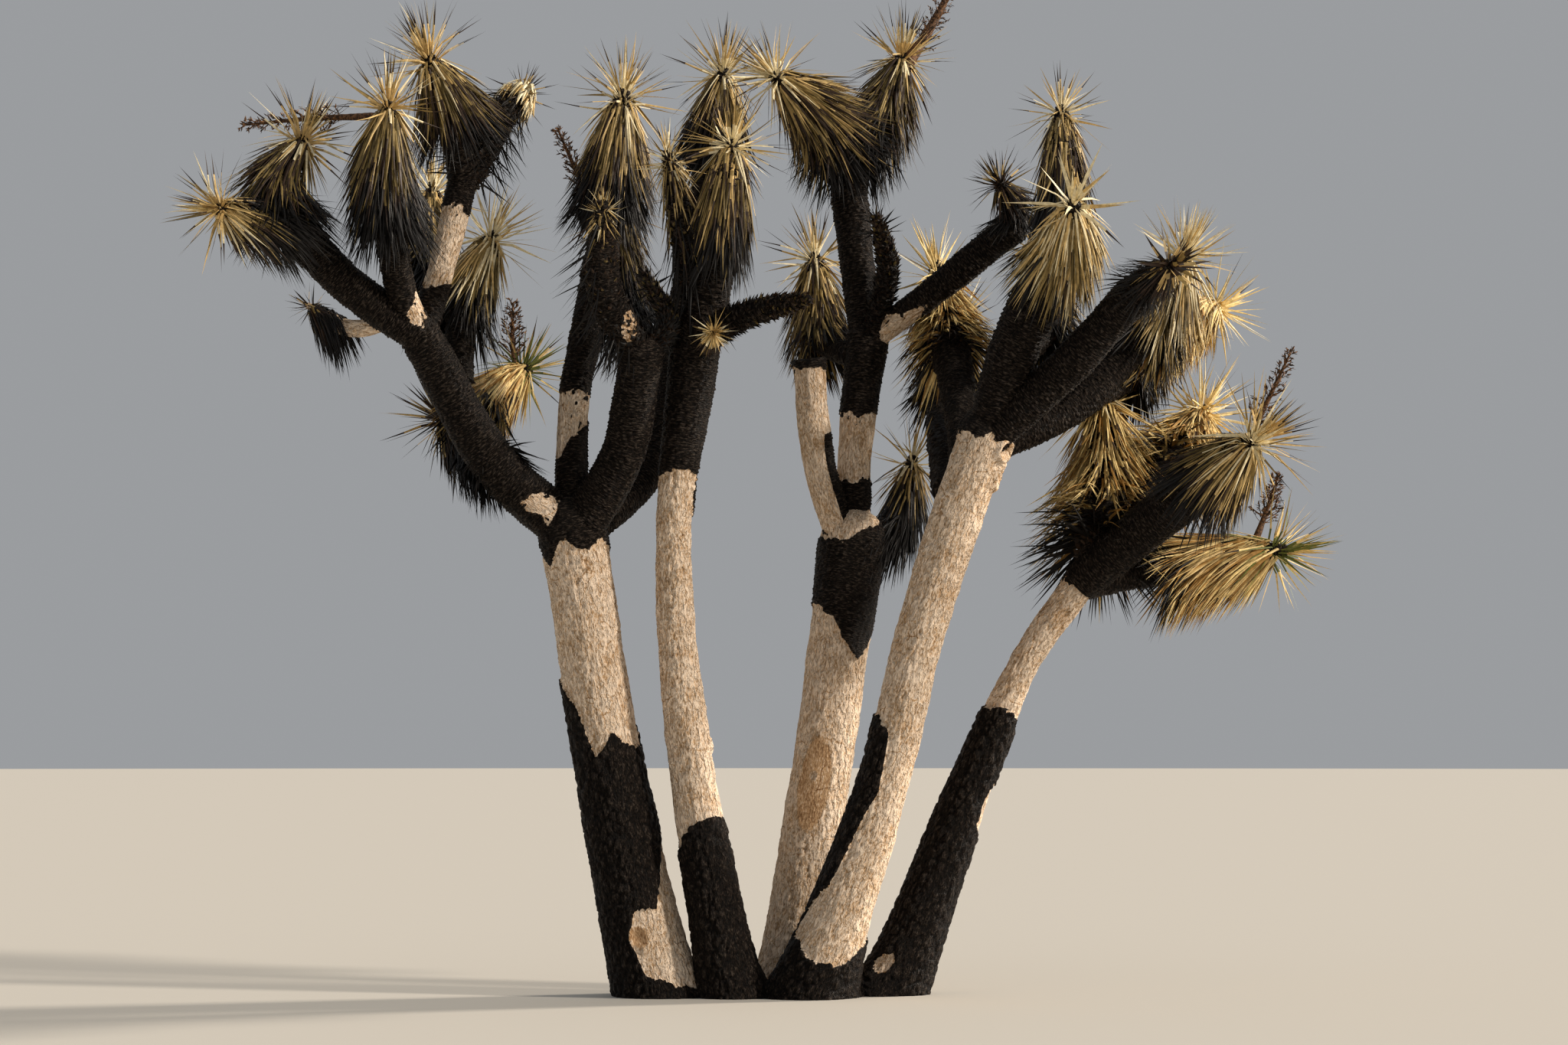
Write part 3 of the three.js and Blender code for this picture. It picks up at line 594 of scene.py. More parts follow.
boughs = {
    "left_bough": dict(
        through=[[-121, -5, 236], [-160, -15, 271], [-196, -35, 334]], radii=[12.5, 11.3, 9.8],
        spots=[[[-136, -20, 250], [9, 14, 5]], [[-130, -18, 244], [5, 12, 6]]]),
    "thick_bough": dict(
        through=[[-120, -6, 234], [-95, -20, 274], [-84, -40, 326]], radii=[11.5, 10.5, 10.5]),
    "centre_bough": dict(
        through=[[-121, -3, 236], [-121, 5, 302], [-111, 12, 361]], radii=[8.5, 7.4, 8],
        bare=[[(-180, 2.82, 3.08), (-60, 2.74, 3.08), (0, 2.84, 3.09), (45, 2.9, 3.08), (90, 2.95, 3.07)]]),
    "rear_bough": dict(through=[[-119, -2, 234], [-83, 50, 276], [-62, 95, 394]], radii=[9.5, 8.4, 7.5]),
    "far_left_bough": dict(
        through=[[-196, -35, 334], [-231, -50, 358], [-260, -70, 388]], radii=[9.4, 9, 8.6]),
    "skirted_bough": dict(
        through=[[-196, -35, 332], [-205, -50, 358], [-208, -65, 383]], radii=[7.2, 7, 7],
        spots=[[[-197, -44, 346], [5, 8, 10]]]),
    "bare_bough": dict(
        through=[[-196, -33, 332], [-186, -25, 371], [-177, -15, 414]], radii=[6.6, 6.8, 6.8],
        bare=[[(-180, 3.55, 4.0), (-60, 3.58, 4.0), (0, 3.56, 4.02), (60, 3.62, 3.96), (120, 3.58, 4.0)]]),
    "slim_top_bough": dict(
        through=[[-58, -18, 327], [-51, -30, 355], [-46, -38, 377]], radii=[11.5, 10, 9.5], shaggy=0.2),
    "back_bough": dict(
        through=[[23, 60, 232], [25, 68, 284], [32, 78, 346]], radii=[9.8, 8.8, 10.6],
        bare=[
            [(-180, 2.67, 3.03), (-60, 2.67, 3.04), (0, 2.66, 3.02), (60, 2.68, 3.04)],
            [(-180, UNDER, 2.55), (-40, UNDER, 2.53), (20, UNDER, 2.5), (80, UNDER, 2.55)],
        ],
    ),
    "broken_bough": dict(
        through=[[20, 58, 230], [6, 51, 274], [0, 45, 330]], radii=[8.4, 8.2, 8.4], end=HOLLOW_END,
        bare=[
            [(-180, 2.4, 3.26), (-30, 2.4, 3.26), (25, 2.4, 3.24), (31, 2.92, 3.24), (90, 2.92, 3.25),
             (100, 2.5, 3.24)],
        ],
    ),
    "back_top_bough": dict(
        through=[[32, 78, 344], [25, 85, 401], [21, 90, 446]], radii=[9, 8.6, 9.6], shaggy=0.5),
    "crossing_bough": dict(
        through=[[33, 77, 344], [69, 57, 370], [108, 38, 400]], radii=[6.4, 7, 8.2],
        bare=[[(-180, 3.4, 3.5), (-40, UNDER, 3.56), (0, UNDER, 3.6), (50, UNDER, 3.54)]]),
    "high_bough": dict(
        through=[[89, -15, 283], [103, -30, 326], [123, -42, 369]], radii=[9, 12, 13], shaggy=0.1),
    "arching_bough": dict(through=[[88, -15, 282], [130, -35, 318], [161, -55, 352]], radii=[10, 9.6, 9]),
    "lower_arching_bough": dict(
        through=[[88, -12, 280], [135, 5, 302], [177, 25, 344]], radii=[10, 9.2, 8.2]),
    "right_bough": dict(through=[[140, 22, 212], [170, 5, 237], [199, -15, 261]], radii=[9.6, 11.4, 11.6]),
}


def spot_depth(spots, places):
    """How far inside the nearest of some round spots each point lies."""
    depth = np.full(len(places), -2 * DEEPEST)
    for middle, size in spots:
        away = np.linalg.norm((places - np.array(middle) * CM) / (np.array(size) * CM), axis=1)
        depth = np.maximum(depth, (1 - away) * min(size) * CM)
    return depth


def bough_surface(limb, places, angle, straight, radius):
    """Charred leaf scars, or bare wood with flecks of char where the bark came off."""
    depth = burn_depth([ALL_ROUND], limb.get("bare", []), angle, places[:, 2], straight)
    ragged = SPOT_CRUMB_REACH * bumps(straight, SPOT_CRUMB, 8)
    depth = np.minimum(depth, ragged - spot_depth(limb.get("spots", []), places))
    depth = np.maximum(depth, 0.05 * (bumps(straight, FLECK, 10) - FLECK_START) + 0.25 * depth)
    share = burnt_share(depth)
    flaky = wood_flakes(straight)
    fine, coarse = (leaf_scars(straight, radius, **scars) for scars in (SCARS, SHAGGY_SCARS))
    young = straight[:, 2] / straight[:, 2].max() - limb.get("shaggy", SHAGGY_FROM)
    young = np.clip(young / SHAGGY_FADE, 0, 1)
    scars = 0.85 * (fine * (1 - young) + coarse * young) + 0.15 * bumps(straight, BOUGH_CHAR_LUMP, 7)
    rise = LUMPS * bumps(straight, BOUGH_LUMP, 4) + (1 - share) * BOUGH_WOOD_RELIEF * flaky
    rise += share * (BOUGH_CHAR_THICKNESS + (CHAR_RELIEF + SHAGGY_RELIEF * young) * scars)
    return rise, depth, np.where(share > 0.5, scars, 0.5 + 0.5 * flaky)


for name, bough in boughs.items():
    mesh = limb_mesh(f"{name}_bark", bough, bough_surface, **BOUGH_MESH, end=bough.get("end", ROUND_END))
    finish_limb(mesh, name)

# The heads: where a bough ends, its core carries a rosette of dagger leaves over a skirt of dead ones. The
# fire burnt some heads to bristly stubs and scorched the lower skirts of most others.

# The skirt's bulk is leaves here, so the core that shows between them is slimmer than the solid's. Leaf and
# rosette are shares of the longest leaf, crown is how many leaves the rosette has, and spread turns leaves
# forward by up to so many degrees. A head with a limb stays a bough up to its skirt, and a clad or bristly
# one has burnt stubs. Side is the way that a skirt with one side faces.
CORE_MESH = dict(sides=32, spacing=0.011)
CORE_SLIMMING = 0.66
CLAD_SLIMMING = 0.85
NECK = 0.4
CORE_WOOD_RELIEF = 0.003
CORE_SCARS = dict(row=0.024, width=0.034)
CORE_RELIEF = 0.02
CORE_EDGE = 0.01


def head_of(through, core, look="dark", scorch=1, **more):
    """A head's path, its core's radii at the foot, where it is widest and at the tip, as in the source, the
    look of its leaves, and the share of its skirt that the fire blackened."""
    return {"through": through, "core": core, "look": look, "scorch": scorch, **more}


heads = {
    "far_left_head": head_of(
        [[-260, -70, 388], [-274, -80, 389], [-289, -95, 389]], [8.4, 11, 4.5], "olive", 0.8, rosette=0.9,
        crown=64),
    "left_upright_head": head_of(
        [[-260, -69, 390], [-263, -65, 408], [-253, -55, 430]], [8.4, 14, 5], "olive", 0.35, crown=64,
        spread=14, stalk=[[-212, -64, 440], [-286, -34, 441]]),
    "long_skirt_head": head_of(
        [[-208, -65, 383], [-211, -70, 413], [-208, -75, 445]], [8, 15.5, 5], "olive", 0.55),
    "top_left_head": head_of(
        [[-177, -15, 414], [-181, -30, 447], [-193, -40, 475]], [7, 15, 5], "olive", 0.4, limb=True,
        crown=66, spread=11),
    "curled_head": head_of(
        [[-176, -14, 415], [-163, 0, 446], [-148, 15, 468]], [6.5, 10, 6], "dark", 1, leaf=0.7,
        rosette=0.55, crown=30, clad=True, skirt="spiky", spread=12, curled=True),
    "inner_left_head": head_of(
        [[-178, -20, 312], [-177, -5, 352], [-163, 10, 392]], [7, 13.5, 4.5], "cream", 0.45, limb=True),
    "golden_inner_head": head_of(
        [[-166, -14, 279], [-171, 35, 305], [-149, 60, 328]], [7, 14, 5], "green", 0.2, limb=True,
        stalk=[[-153, 54, 316], [-157, 62, 362]]),
    "drooping_head": head_of(
        [[-212, -40, 339], [-234, -25, 339], [-255, -20, 351]], [3.4, 7, 3.6], "dark", 0.9, leaf=0.8,
        rosette=0.4, crown=26, skirt="drooping", pale=True),
    "hidden_left_head": head_of(
        [[-158, -12, 272], [-176, 25, 282], [-194, 50, 300]], [6, 9.5, 4], "dark", 0.7),
    "rear_left_head": head_of(
        [[-182, -22, 318], [-200, 50, 372], [-205, 105, 432]], [5.5, 12, 4.5], "straw", 0.3, limb=True),
    "centre_top_head": head_of(
        [[-111, 12, 361], [-102, 10, 414], [-96, 5, 466]], [8.5, 17, 5], "straw", 0.5, limb=True,
        stalk=[[-108, 16, 392], [-131, 28, 449]], crown=66),
    "scorched_head": head_of(
        [[-84, -40, 325], [-101, -55, 350], [-103, -65, 397]], [5.2, 10.5, 6], "straw", 1, leaf=0.72,
        rosette=0.36, clad=True, skirt="spiky", spread=20, side=(-1, 0.4),
        spots=[[[-90, -54, 336], [4, 9, 8]]]),
    "bristle_stub": head_of(
        [[-83, -38, 326], [-71, -28, 340], [-84, -20, 367]], [4, 6.5, 5], bristly=True, tuft=24),
    "rear_centre_head": head_of(
        [[-62, 95, 394], [-52, 105, 454], [-46, 110, 498]], [7.5, 12, 4.5], "straw", 0.5, limb=True,
        crown=72, spread=8),
    "rear_skirt_head": head_of(
        [[-78, 56, 292], [-100, 120, 360], [-106, 155, 432]], [6, 13, 4.5], "olive", 0.5, limb=True),
    "slim_top_head": head_of(
        [[-46, -38, 377], [-42, -45, 405], [-39, -50, 430]], [9.4, 16, 5], "straw", 0.4, leaf=0.9,
        rosette=1, crown=66, spread=-20),
    "slim_side_head": head_of(
        [[-54, -24, 342], [-61, -35, 376], [-72, -30, 428]], [5, 8.5, 4.5], "straw", 0.6, leaf=0.7,
        rosette=0.6, clad=True),
    "small_front_head": head_of(
        [[-55, -22, 337], [-50, -38, 334], [-48, -46, 334]], [4.5, 4.5, 3], "olive", 0.8, leaf=0.35,
        rosette=0.4),
    "bristle_bough": head_of([[-54, -22, 336], [-28, -40, 345], [0, -55, 350]], [7, 7.5, 3], bristly=True),
    "draped_head": head_of(
        [[21, 90, 444], [4, 75, 468], [-19, 60, 485]], [9, 17, 5], "straw", 0.35, skirt="draped", crown=64),
    "stalk_head": head_of(
        [[22, 91, 445], [40, 105, 471], [53, 120, 508]], [9, 15, 5], "olive", 0.45, crown=78, spread=22,
        stalk=[[50, 115, 494], [84, 130, 554]], stalk_width=2),
    "hooked_stub": head_of(
        [[34, 74, 344], [42, 62, 381], [36, 55, 408]], [6, 7.5, 4.6], bristly=True, tuft=30),
    "crossing_head": head_of(
        [[108, 38, 400], [108, 36, 409], [100, 30, 422]], [8.2, 9, 5], "dark", 0.8, leaf=0.6, rosette=0.65,
        skirt="spiky"),
    "back_left_head": head_of(
        [[24, 77, 336], [8, 110, 350], [4, 130, 398]], [6, 14, 4.5], "straw", 0.15, limb=True),
    "sheltered_head": head_of(
        [[27, 62, 232], [49, 85, 248], [57, 100, 283]], [8, 12, 4.5], "straw", 0.85, leaf=0.85,
        rosette=0.95, crown=28),
    "rear_right_head": head_of(
        [[70, -6, 258], [74, 130, 310], [86, 200, 372]], [7, 12.5, 4.5], "straw", 0.3, limb=True,
        skirt="short"),
    "facing_head": head_of(
        [[123, -42, 369], [129, -60, 382], [129, -85, 393]], [12.6, 17, 6], "cream", 0.15, rosette=0.98,
        broad=1.8, crown=22),
    "upper_right_head": head_of(
        [[124, -40, 370], [129, -20, 413], [130, 0, 456]], [10, 16, 5], "straw", 0.5, leaf=0.85, spread=-18),
    "golden_rear_head": head_of(
        [[80, -14, 270], [78, 50, 319], [70, 110, 390]], [8, 15, 5], "golden", 0.12, limb=True,
        skirt="short", spread=22),
    "rear_high_head": head_of(
        [[102, -28, 320], [125, 65, 350], [134, 140, 402]], [6, 12.5, 4.5], "straw", 0.3, limb=True),
    "burst_head": head_of(
        [[161, -55, 352], [171, -65, 359], [178, -75, 364]], [8.8, 9, 5], "dark", 0.8, leaf=0.5,
        rosette=0.62, broad=2.2, crown=30, skirt="spiky"),
    "outer_head": head_of(
        [[177, 25, 344], [188, 20, 362], [195, 15, 382]], [8, 14, 5], "cream", 0.15, leaf=0.98, crown=72,
        spread=18),
    "outer_golden_head": head_of(
        [[178, 27, 344], [200, 55, 354], [220, 80, 362]], [7, 13, 4.5], "golden", 0.1, spread=10),
    "rear_outer_head": head_of(
        [[132, 4, 300], [175, 95, 328], [206, 155, 368]], [5.5, 12, 4.5], "straw", 0.3, limb=True),
    "right_head": head_of(
        [[199, -15, 261], [211, -28, 271], [223, -40, 280]], [11.4, 16, 5.5], "straw", 0.5,
        stalk=[[217, -33, 272], [243, -30, 326]], rosette=1.1, crown=76, spread=14),
    "golden_fan_head": head_of(
        [[148, 19, 222], [156, 50, 262], [157, 72, 317]], [8, 18, 5], "golden", 0.3, leaf=1.2, crown=76,
        spread=38),
    "golden_rear_fan_head": head_of(
        [[166, 8, 235], [191, 70, 276], [217, 120, 311]], [7, 14, 5], "golden", 0.1, limb=True, leaf=1.12,
        crown=76, spread=30),
    "green_tip_head": head_of(
        [[142, 23, 212], [193, 35, 222], [248, 30, 229]], [8.5, 16.5, 5], "green", 0.15, limb=True,
        stalk=[[232, 34, 232], [246, 42, 268]], crown=70, spread=14),
}


def core_radii(head):
    """The radii along a core. One on a limb of its own stays a bough up to the start of its skirt."""
    foot, widest, tip = head["core"]
    wide = max(0.85 * foot, (CLAD_SLIMMING if head.get("clad") else CORE_SLIMMING) * widest)
    if head.get("limb"):
        return [foot, 0.92 * foot, foot, wide, 0.9 * wide, NECK * tip]
    return [foot, wide, 0.9 * wide, NECK * tip]


def core_surface(limb, places, angle, straight, radius):
    """The close-set stubs of leaves, charred to the tip, or wood as pale as a bare bough's."""
    if limb.get("pale"):
        flaky = wood_flakes(straight)
        return CORE_WOOD_RELIEF * flaky, np.full(len(angle), -DEEPEST), 0.5 + 0.5 * flaky
    depth = np.minimum(DEEPEST, -spot_depth(limb.get("spots", []), places))
    scars = leaf_scars(straight, radius, **CORE_SCARS) * np.clip(depth / CORE_EDGE, 0, 1)
    return CORE_RELIEF * scars, depth, scars


for name, head in heads.items():
    mesh = limb_mesh(f"{name}_core", dict(head, radii=core_radii(head)), core_surface, **CORE_MESH)
    finish_limb(mesh, name)

# The leaves: stiff daggers up to a third of a metre long and 10 to 16 mm wide, with a channel above and a
# keel below. The rosette's are live or newly dead and point out and up. Below it they are dead, folded back
# at the base, and hang as a thatch. Weather and fire deal out their colours, so each spray has its own. The
# cream and golden tones are also painted highlight, for sunlit leaves, and olive is also painted shade, for
# leaves in the shade inside a skirt.

# A leaf's length and width start at the shortest and slimmest share and go up by a scatter. Its place along
# the core scatters too, and its turn in radians and its angle in degrees. The blade's widths are those at its
# base, elbow and middle. A leaf that would reach inside a limb isn't made, and nor is one on the far side of
# a skirt with one side.
LEAF_LENGTH = 0.335
SHORTEST = 0.84
LENGTH_SCATTER = 0.24
SLIMMEST = 0.75
WIDTH_SCATTER = 0.5
PLACE_SCATTER = 0.012
TURN_SCATTER = 0.35
ANGLE_SCATTER = 5
TWIST = 0.35
MIDDLE = 0.58
BEYOND_MIDDLE = 0.42
BLADE_WIDTHS = (0.9, 1.0, 0.66)
KEEL_DEPTH = 0.24
GOLDEN_ANGLE = math.pi * (3 - math.sqrt(5))
LEAVES_A_SQUARE_METRE = 2300
SCORCH_SCATTER = 0.13
# Cream and golden are partly painted highlight and olive partly painted shade, besides the leaves' own
# colours.
TONES = {
    "cream": "#eedfb6",
    "straw": "#cfb074",
    "tan": "#957e4b",
    "olive": "#64542c",
    "brown": "#342417",
    "scorched": "#0f0b08",
    "golden": "#f0d38f",
    "amber": "#b58a49",
    "green": "#6f7538",
    "russet": "#7f5937",
}
# A look is the tones of a crown and of a skirt, dealt out evenly, and the share of the tips that are brown.
LOOKS = {
    "cream": dict(crown=["cream", "cream", "straw"], skirt=["cream", "straw", "tan", "olive"], tips=0.1),
    "straw": dict(
        crown=["cream", "straw", "straw", "tan"], skirt=["straw", "tan", "olive", "brown"], tips=0.4),
    "olive": dict(crown=["straw", "cream", "tan"], skirt=["olive", "olive", "tan", "brown"], tips=0.6),
    "golden": dict(
        crown=["golden", "cream", "golden"], skirt=["golden", "amber", "golden", "tan"], tips=0.15),
    "green": dict(crown=["green", "golden", "straw", "golden"], skirt=["golden", "straw", "amber"], tips=0.1),
    "dark": dict(crown=["brown", "tan", "scorched", "straw"], skirt=["brown", "scorched", "olive"], tips=0.9),
}
# A kind's leaves are rooted at these places on the core, leave it at the opening angle, and turn at their
# elbow to hang at the other, all from the first leaf to the last. Width is in metres, and length is a share
# of the longest leaf.
ROSETTE = dict(
    place=(0.99, 0.93), opening=(4, 92), hang=(2, 101), elbow=0.3, sunk=(0.1, 0.5),
    length=(0.88, 1.06), width=0.0125, droop=0.0, stray=(0.05, 0.07))
COLLAR = dict(
    place=(0.96, 0.87), opening=(98, 112), hang=(130, 160), elbow=0.11, sunk=(0.6, 0.8),
    length=(0.9, 1.0), width=0.0145, droop=0.2, stray=(0.06, 0.06))
SKIRT = dict(
    place=(0.92, 0.05), opening=(106, 124), hang=(165, 147), elbow=0.1, sunk=(0.85, 0.95),
    length=(1.0, 0.97), width=0.0145, droop=0.24, stray=(0.04, 0.12))
SKIRTS = {
    "full": SKIRT,
    "limb": dict(SKIRT, place=(0.94, 0.45)),
    "short": dict(SKIRT, place=(0.94, 0.64)),
    "spiky": dict(SKIRT, hang=(140, 124), droop=0.1, stray=(0.1, 0.16), width=0.012),
    "drooping": dict(SKIRT, place=(0.97, 0.62), droop=0.9),
    "draped": dict(SKIRT, hang=(152, 128), droop=0.1, stray=(0.08, 0.15)),
}
TUFT = dict(ROSETTE, place=(0.98, 0.8), opening=(20, 80), hang=(25, 95), length=(0.3, 0.5))
CURLS = dict(
    place=(0.99, 0.8), opening=(40, 75), hang=(140, 185), elbow=0.34, sunk=(0.8, 0.9),
    length=(0.42, 0.5), width=0.019, droop=0.3, stray=(0.1, 0.1))
STUBS = dict(
    place=(0.98, 0.02), opening=(44, 66), hang=(38, 58), elbow=0.4, sunk=(0.8, 0.9),
    length=(0.12, 0.17), width=0.022, droop=0.0, stray=(0.15, 0.15))
ROSETTE_LEAVES = 52
COLLAR_LEAVES = 46
CURLED_LEAVES = 110
STUB_LEAVES = 420
FEWEST_SKIRT_LEAVES = 160
MOST_SKIRT_LEAVES = 820
CLAD_THINNING = 3
STATIONS = 120
INSIDE_SHARE = 0.9
FAR_SIDE = -0.15
leaf_tones = list(TONES)
limb_shares = np.linspace(0, 1, 40)
limb_lines = [
    (curve_at(limb["through"], limb_shares)[0], eased(limb_shares, limb["radii"]) * CM)
    for limb in [*stems.values(), *boughs.values()]
]


def inside_a_limb(points):
    """True for each point that lies inside a stem or bough."""
    inside = np.zeros(len(points), bool)
    for line, radii in limb_lines:
        apart = np.linalg.norm(points[:, None, :] - line[None, :, :], axis=2)
        inside |= (apart < INSIDE_SHARE * radii[None, :]).any(axis=1)
    return inside


def between(ends, share):
    return ends[0] + (ends[1] - ends[0]) * share


def grow_leaves(head, kind, count, random, tone_of, size=1):
    """One kind of leaf on a head: each one's root, elbow, middle and tip, its way across, and its tones."""
    at, along, normals, aside = frames_along(head["through"], np.linspace(0, 1, STATIONS + 1))
    share = np.arange(count) / max(count - 1, 1)
    spot = np.clip(between(kind["place"], share) + PLACE_SCATTER * random.standard_normal(count), 0, 1)
    station = np.rint(spot * STATIONS).astype(int)
    turn = np.arange(count) * GOLDEN_ANGLE + TURN_SCATTER * random.random(count)
    outward = normals[station] * np.cos(turn)[:, None] + aside[station] * np.sin(turn)[:, None]
    ahead = along[station]
    spread = head.get("spread", 0) * (0.35 + 0.65 * share)

    def heading(ends, droop):
        angle = between(ends, share) - spread + ANGLE_SCATTER * random.standard_normal(count)
        angle = np.radians(angle)[:, None]
        way = ahead * np.cos(angle) + outward * np.sin(angle)
        way += between(kind["stray"], share)[:, None] * random.standard_normal((count, 3))
        lying = 1 - np.abs(ahead[:, 2])
        way[:, 2] -= droop * (0.3 + 2.2 * lying)
        return unit(way)

    first, then = heading(kind["opening"], 0.3 * kind["droop"]), heading(kind["hang"], kind["droop"])
    length = LEAF_LENGTH * size * between(kind["length"], share)
    length = (length * (SHORTEST + LENGTH_SCATTER * random.random(count)))[:, None]
    radius = eased(spot, core_radii(head)) * CM * between(kind["sunk"], share)
    root = at[station] + outward * radius[:, None]
    elbow = root + first * length * kind["elbow"]
    middle = elbow + then * length * (MIDDLE - kind["elbow"])
    sag = 0.04 * random.standard_normal((count, 3)) - np.array([0, 0, 0.35 * kind["droop"]])
    tip = middle + unit(then + sag) * length * BEYOND_MIDDLE
    across = unit(np.cross(then, outward + TWIST * random.standard_normal((count, 3))))
    width = kind["width"] * (SLIMMEST + WIDTH_SCATTER * random.random(count)) * size ** 0.5
    clear = ~(inside_a_limb(tip) | inside_a_limb(middle))
    if "side" in head and kind is SKIRTS["spiky"]:
        clear &= outward[:, :2] @ np.array(head["side"]) > FAR_SIDE
    rows = (root, elbow, middle, tip, across, width, tone_of(spot, share, random))
    return [values[clear] for values in rows]


def join_leaves(name, batches, stands_for):
    """Leaves from several heads as one mesh: closed blades with three sides, three rings and a point."""
    root, elbow, middle, tip, across, width, tones = (np.concatenate(rows) for rows in zip(*batches))
    keel = unit(np.cross(across, middle - elbow))
    rings = []
    for centre, wide in zip((root, elbow, middle), BLADE_WIDTHS):
        half = across * (width * wide / 2)[:, None]
        rings += [centre - half, centre + half, centre + keel * (KEEL_DEPTH * width * wide)[:, None]]
    points = np.stack([*rings, tip], axis=1)
    first = np.arange(len(root))[:, None, None] * points.shape[1]
    bands = [[k + i, k + (i + 1) % 3, k + 3 + (i + 1) % 3, k + 3 + i] for k in (0, 3) for i in range(3)]
    ends = [[0, 2, 1], [6, 7, 9], [7, 8, 9], [8, 6, 9]]
    faces = (first + bands).reshape(-1, 4).tolist() + (first + ends).reshape(-1, 3).tolist()
    mesh = bpy.data.meshes.new(name)
    mesh.from_pydata(points.reshape(-1, 3), [], faces)
    painted = np.concatenate([tones[:, [0, 0, 0, 1, 1, 1]].ravel(), tones[:, [0, 2, 2, 2]].ravel()])
    used, slots = np.unique(painted, return_inverse=True)
    for tone in used:
        mesh.materials.append(leaf_materials[leaf_tones[tone]])
    mesh.polygons.foreach_set("material_index", slots.astype(np.int32))
    mesh.update()
    add_piece(mesh, stands_for)


# A dried leaf is fibrous and waxy: dull, with a soft sheen along it, and a little mottled.
DRY_LEAF = {"Specular IOR Level": 0.3, "Roughness": 0.55}
MOTTLE = {"Scale": per_metre(25), "Detail": 3}
MOTTLED = {"From Min": 0.3, "From Max": 0.7, "To Min": 0.66, "To Max": 1.15}
leaf_materials = {}
for tone, hex_colour in TONES.items():
    leaf, leaf_shader = new_material(f"{tone}_dagger_leaf", DRY_LEAF)
    nodes = leaf.node_tree
    place = add_node(nodes, "TexCoord").outputs["Object"]
    mottle = add_node(nodes, "TexNoise", {"Vector": place, **MOTTLE})
    shade = add_node(nodes, "MapRange", {"Value": mottle, **MOTTLED})
    tint = add_node(nodes, "Mix", {
        "Factor": 1.0, 6: linear(hex_colour), 7: shade,
    }, data_type="RGBA", blend_type="MULTIPLY")
    nodes.links.new(tint.outputs[2], leaf_shader.inputs["Base Color"])
    leaf_materials[tone] = leaf


def tone_rule(look, part, scorch=1, pale_base=False):
    """Deals out a leaf's three tones, at its base, middle and tip, by where on its head it grows."""
    choice = [leaf_tones.index(tone) for tone in LOOKS[look][part]]
    brown, scorched = leaf_tones.index("brown"), leaf_tones.index("scorched")

    def tones(spot, share, random):
        body = random.choice(choice, len(spot))
        base, tip = body.copy(), body.copy()
        if pale_base:
            base[:] = choice[0]
        tip[random.random(len(spot)) < LOOKS[look]["tips"]] = brown
        burnt = share + SCORCH_SCATTER * random.standard_normal(len(spot)) > 1 - scorch
        burnt &= part == "skirt"
        body[burnt] = scorched
        tip[burnt] = scorched
        base[burnt] = brown
        return np.stack([base, body, tip], axis=1)
    return tones


def skirt_count(head, kind):
    """As many leaves as cover the stretch of core that they grow from."""
    length = curve_length(head["through"], 30) * (kind["place"][0] - kind["place"][1])
    area = 2 * math.pi * CORE_SLIMMING * head["core"][1] * CM * length
    return int(np.clip(LEAVES_A_SQUARE_METRE * area, FEWEST_SKIRT_LEAVES, MOST_SKIRT_LEAVES))


# The leaves are joined into a few pieces: burnt stubs, rosettes, and the skirts of each side of the crown,
# whose sides meet at these places along x.
SIDES = ("left", "middle", "right")
SIDES_MEET = (-1.35, 0.85)
groups = {}
for name, head in heads.items():
    random = np.random.default_rng(list(name.encode()))
    side = SIDES[np.searchsorted(SIDES_MEET, head["through"][-1][0] * CM)]
    golden = head["look"] in ("golden", "green")
    if head.get("bristly") or head.get("clad"):
        stubs = grow_leaves(head, STUBS, STUB_LEAVES, random, tone_rule("dark", "skirt", scorch=0.55))
        tuft = grow_leaves(head, TUFT, head.get("tuft", 0), random, tone_rule("dark", "skirt"))
        groups.setdefault("burnt_leaf_stubs", []).append((name, [stubs, tuft]))
    if head.get("bristly"):
        continue
    look = head["look"]
    size = head.get("leaf", 1)
    crown_size = head.get("rosette", size)
    star = dict(ROSETTE, width=ROSETTE["width"] * head.get("broad", 1))
    starry = tone_rule(look, "crown", pale_base=True)
    rosette = grow_leaves(head, star, head.get("crown", ROSETTE_LEAVES), random, starry, crown_size)
    collar = grow_leaves(head, COLLAR, COLLAR_LEAVES, random, tone_rule(look, "crown"), crown_size)
    # The curled head's own leaves take its collar's place.
    if head.get("curled"):
        collar = grow_leaves(head, CURLS, CURLED_LEAVES, random, tone_rule("cream", "crown"))
    skirt = SKIRTS[head.get("skirt", "limb" if head.get("limb") else "full")]
    count = skirt_count(head, skirt) // (CLAD_THINNING if head.get("clad") else 1)
    thatch = grow_leaves(head, skirt, count, random, tone_rule(look, "skirt", head["scorch"]), size)
    groups.setdefault("golden_rosettes" if golden else "straw_rosettes", []).append((name, [rosette, collar]))
    groups.setdefault("golden_skirts" if golden else f"{side}_skirts", []).append((name, [thatch]))

for group, members in groups.items():
    batches = [batch for _, grown in members for batch in grown]
    join_leaves(group, batches, [name for name, _ in members])

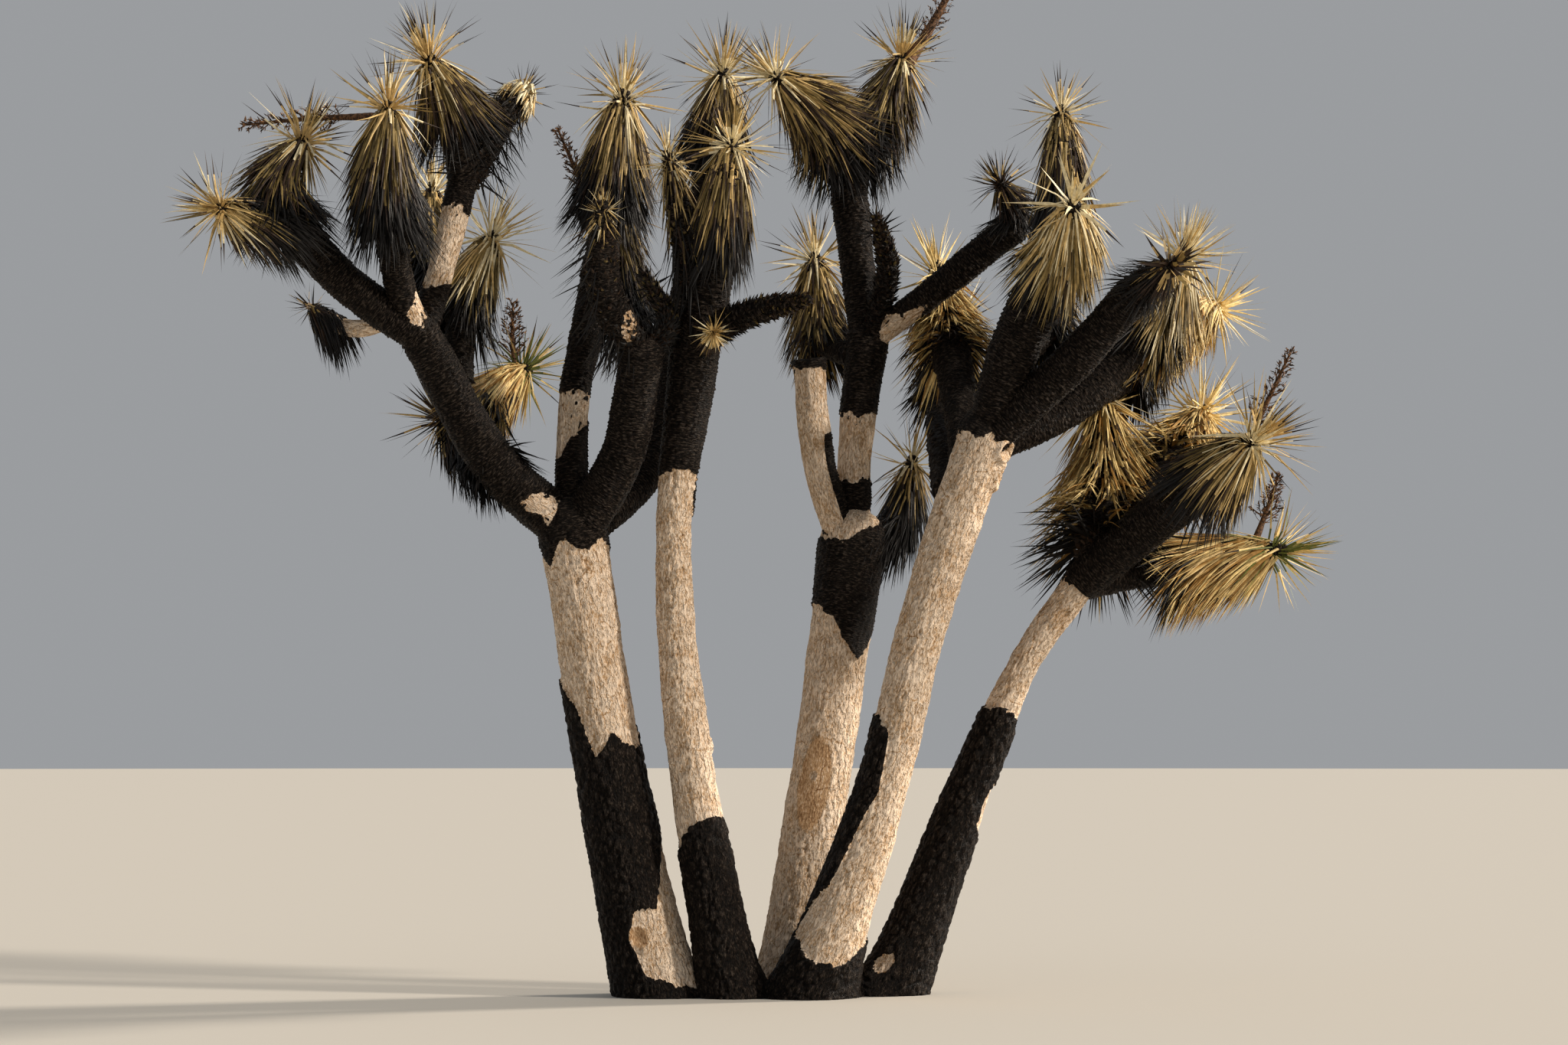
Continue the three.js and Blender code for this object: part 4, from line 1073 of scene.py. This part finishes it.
# The flower stalks: what is left of old panicles, dried to a brown rod with short stiff side branches, each
# with the stubs of its flowers. A head carries its stalk beside the rosette.
DRY_STALK = {"Specular IOR Level": 0.3, "Roughness": 0.75}
STALK_FIBRES = {"Scale": per_metre(10), "Detail": 4}
STALK_STOPS = {0.38: "#2f1e13", 0.66: "#7d5a3c"}
STALK_MESH = dict(sides=12, spacing=0.012)
STALK_RADII = [2.2, 1.5, 1.1, 0.5]
STALK_BOW = 1.5
KNOB = 0.012
KNOB_RELIEF = 0.003
STALK_BRANCHES = 56
LOWEST_BRANCH = 0.28
BRANCH_LENGTH = (0.12, 0.03)
BRANCH = dict(width=0.009, lean=math.radians(52))
FLOWER_STUBS = 5
LOWEST_STUB = 0.35
STUB_LENGTH = 0.024
STUB = dict(width=0.008, lean=math.radians(50))

stalk_wood, stalk_shader = new_material("dried_flower_stalk", DRY_STALK)
nodes = stalk_wood.node_tree
place = add_node(nodes, "TexCoord").outputs["Object"]
fibres = add_node(nodes, "TexNoise", {"Vector": place, **STALK_FIBRES})
stalk_colour = add_node(nodes, "ValToRGB", {"Fac": fibres}, STALK_STOPS)
nodes.links.new(stalk_colour.outputs["Color"], stalk_shader.inputs["Base Color"])


def stalk_surface(limb, places, angle, straight, radius):
    """A knobbly rod."""
    knobs = bumps(straight, KNOB, 9)
    return KNOB_RELIEF * knobs, np.zeros(len(angle)), knobs


def side_twigs(roots, along, outward, length, random, width, lean):
    """Stiff twigs that leave a stem at an angle, as rows for join_leaves."""
    way = unit(along * math.cos(lean) + outward * math.sin(lean) + 0.12 * random.standard_normal(along.shape))
    bend = unit(way + 0.25 * along)
    elbow = roots + way * (0.4 * length)[:, None]
    middle = elbow + bend * (0.35 * length)[:, None]
    tip = middle + bend * (0.25 * length)[:, None]
    across = unit(np.cross(bend, outward + 0.3 * random.standard_normal(along.shape)))
    tones = random.choice([leaf_tones.index("russet"), leaf_tones.index("brown")], (len(roots), 3))
    return roots, elbow, middle, tip, across, np.full(len(roots), width), tones


twigs = []
stalked = [name for name, head in heads.items() if head.get("stalk")]
for name in stalked:
    random = np.random.default_rng(list(f"{name}_stalk".encode()))
    base, top = (np.array(end, float) for end in heads[name]["stalk"])
    bowed = (base + top) / 2 + STALK_BOW * random.standard_normal(3)
    rod = {"through": [base, bowed, top], "radii": np.array(STALK_RADII) * heads[name].get("stalk_width", 1)}
    mesh = limb_mesh(f"{name}_stalk", rod, stalk_surface, **STALK_MESH)
    finish_limb(mesh, name, material=stalk_wood)
    share = np.linspace(LOWEST_BRANCH, 1, STALK_BRANCHES)
    at, along, normals, aside = frames_along(rod["through"], share)
    turn = (np.arange(STALK_BRANCHES) * GOLDEN_ANGLE)[:, None]
    outward = normals * np.cos(turn) + aside * np.sin(turn)
    length = between(BRANCH_LENGTH, share) * (0.7 + 0.6 * random.random(STALK_BRANCHES))
    branches = side_twigs(at, along, outward, length, random, **BRANCH)
    twigs.append(branches)
    roots, elbow, middle, tip = branches[:4]
    length = np.full(len(roots), STUB_LENGTH)
    for spot in np.linspace(LOWEST_STUB, 1, FLOWER_STUBS):
        on_branch = elbow + (tip - elbow) * spot
        around = unit(np.cross(middle - roots, random.standard_normal(roots.shape)))
        twigs.append(side_twigs(on_branch, unit(tip - roots), around, length, random, **STUB))
join_leaves("flower_stalk_twigs", twigs, stalked)
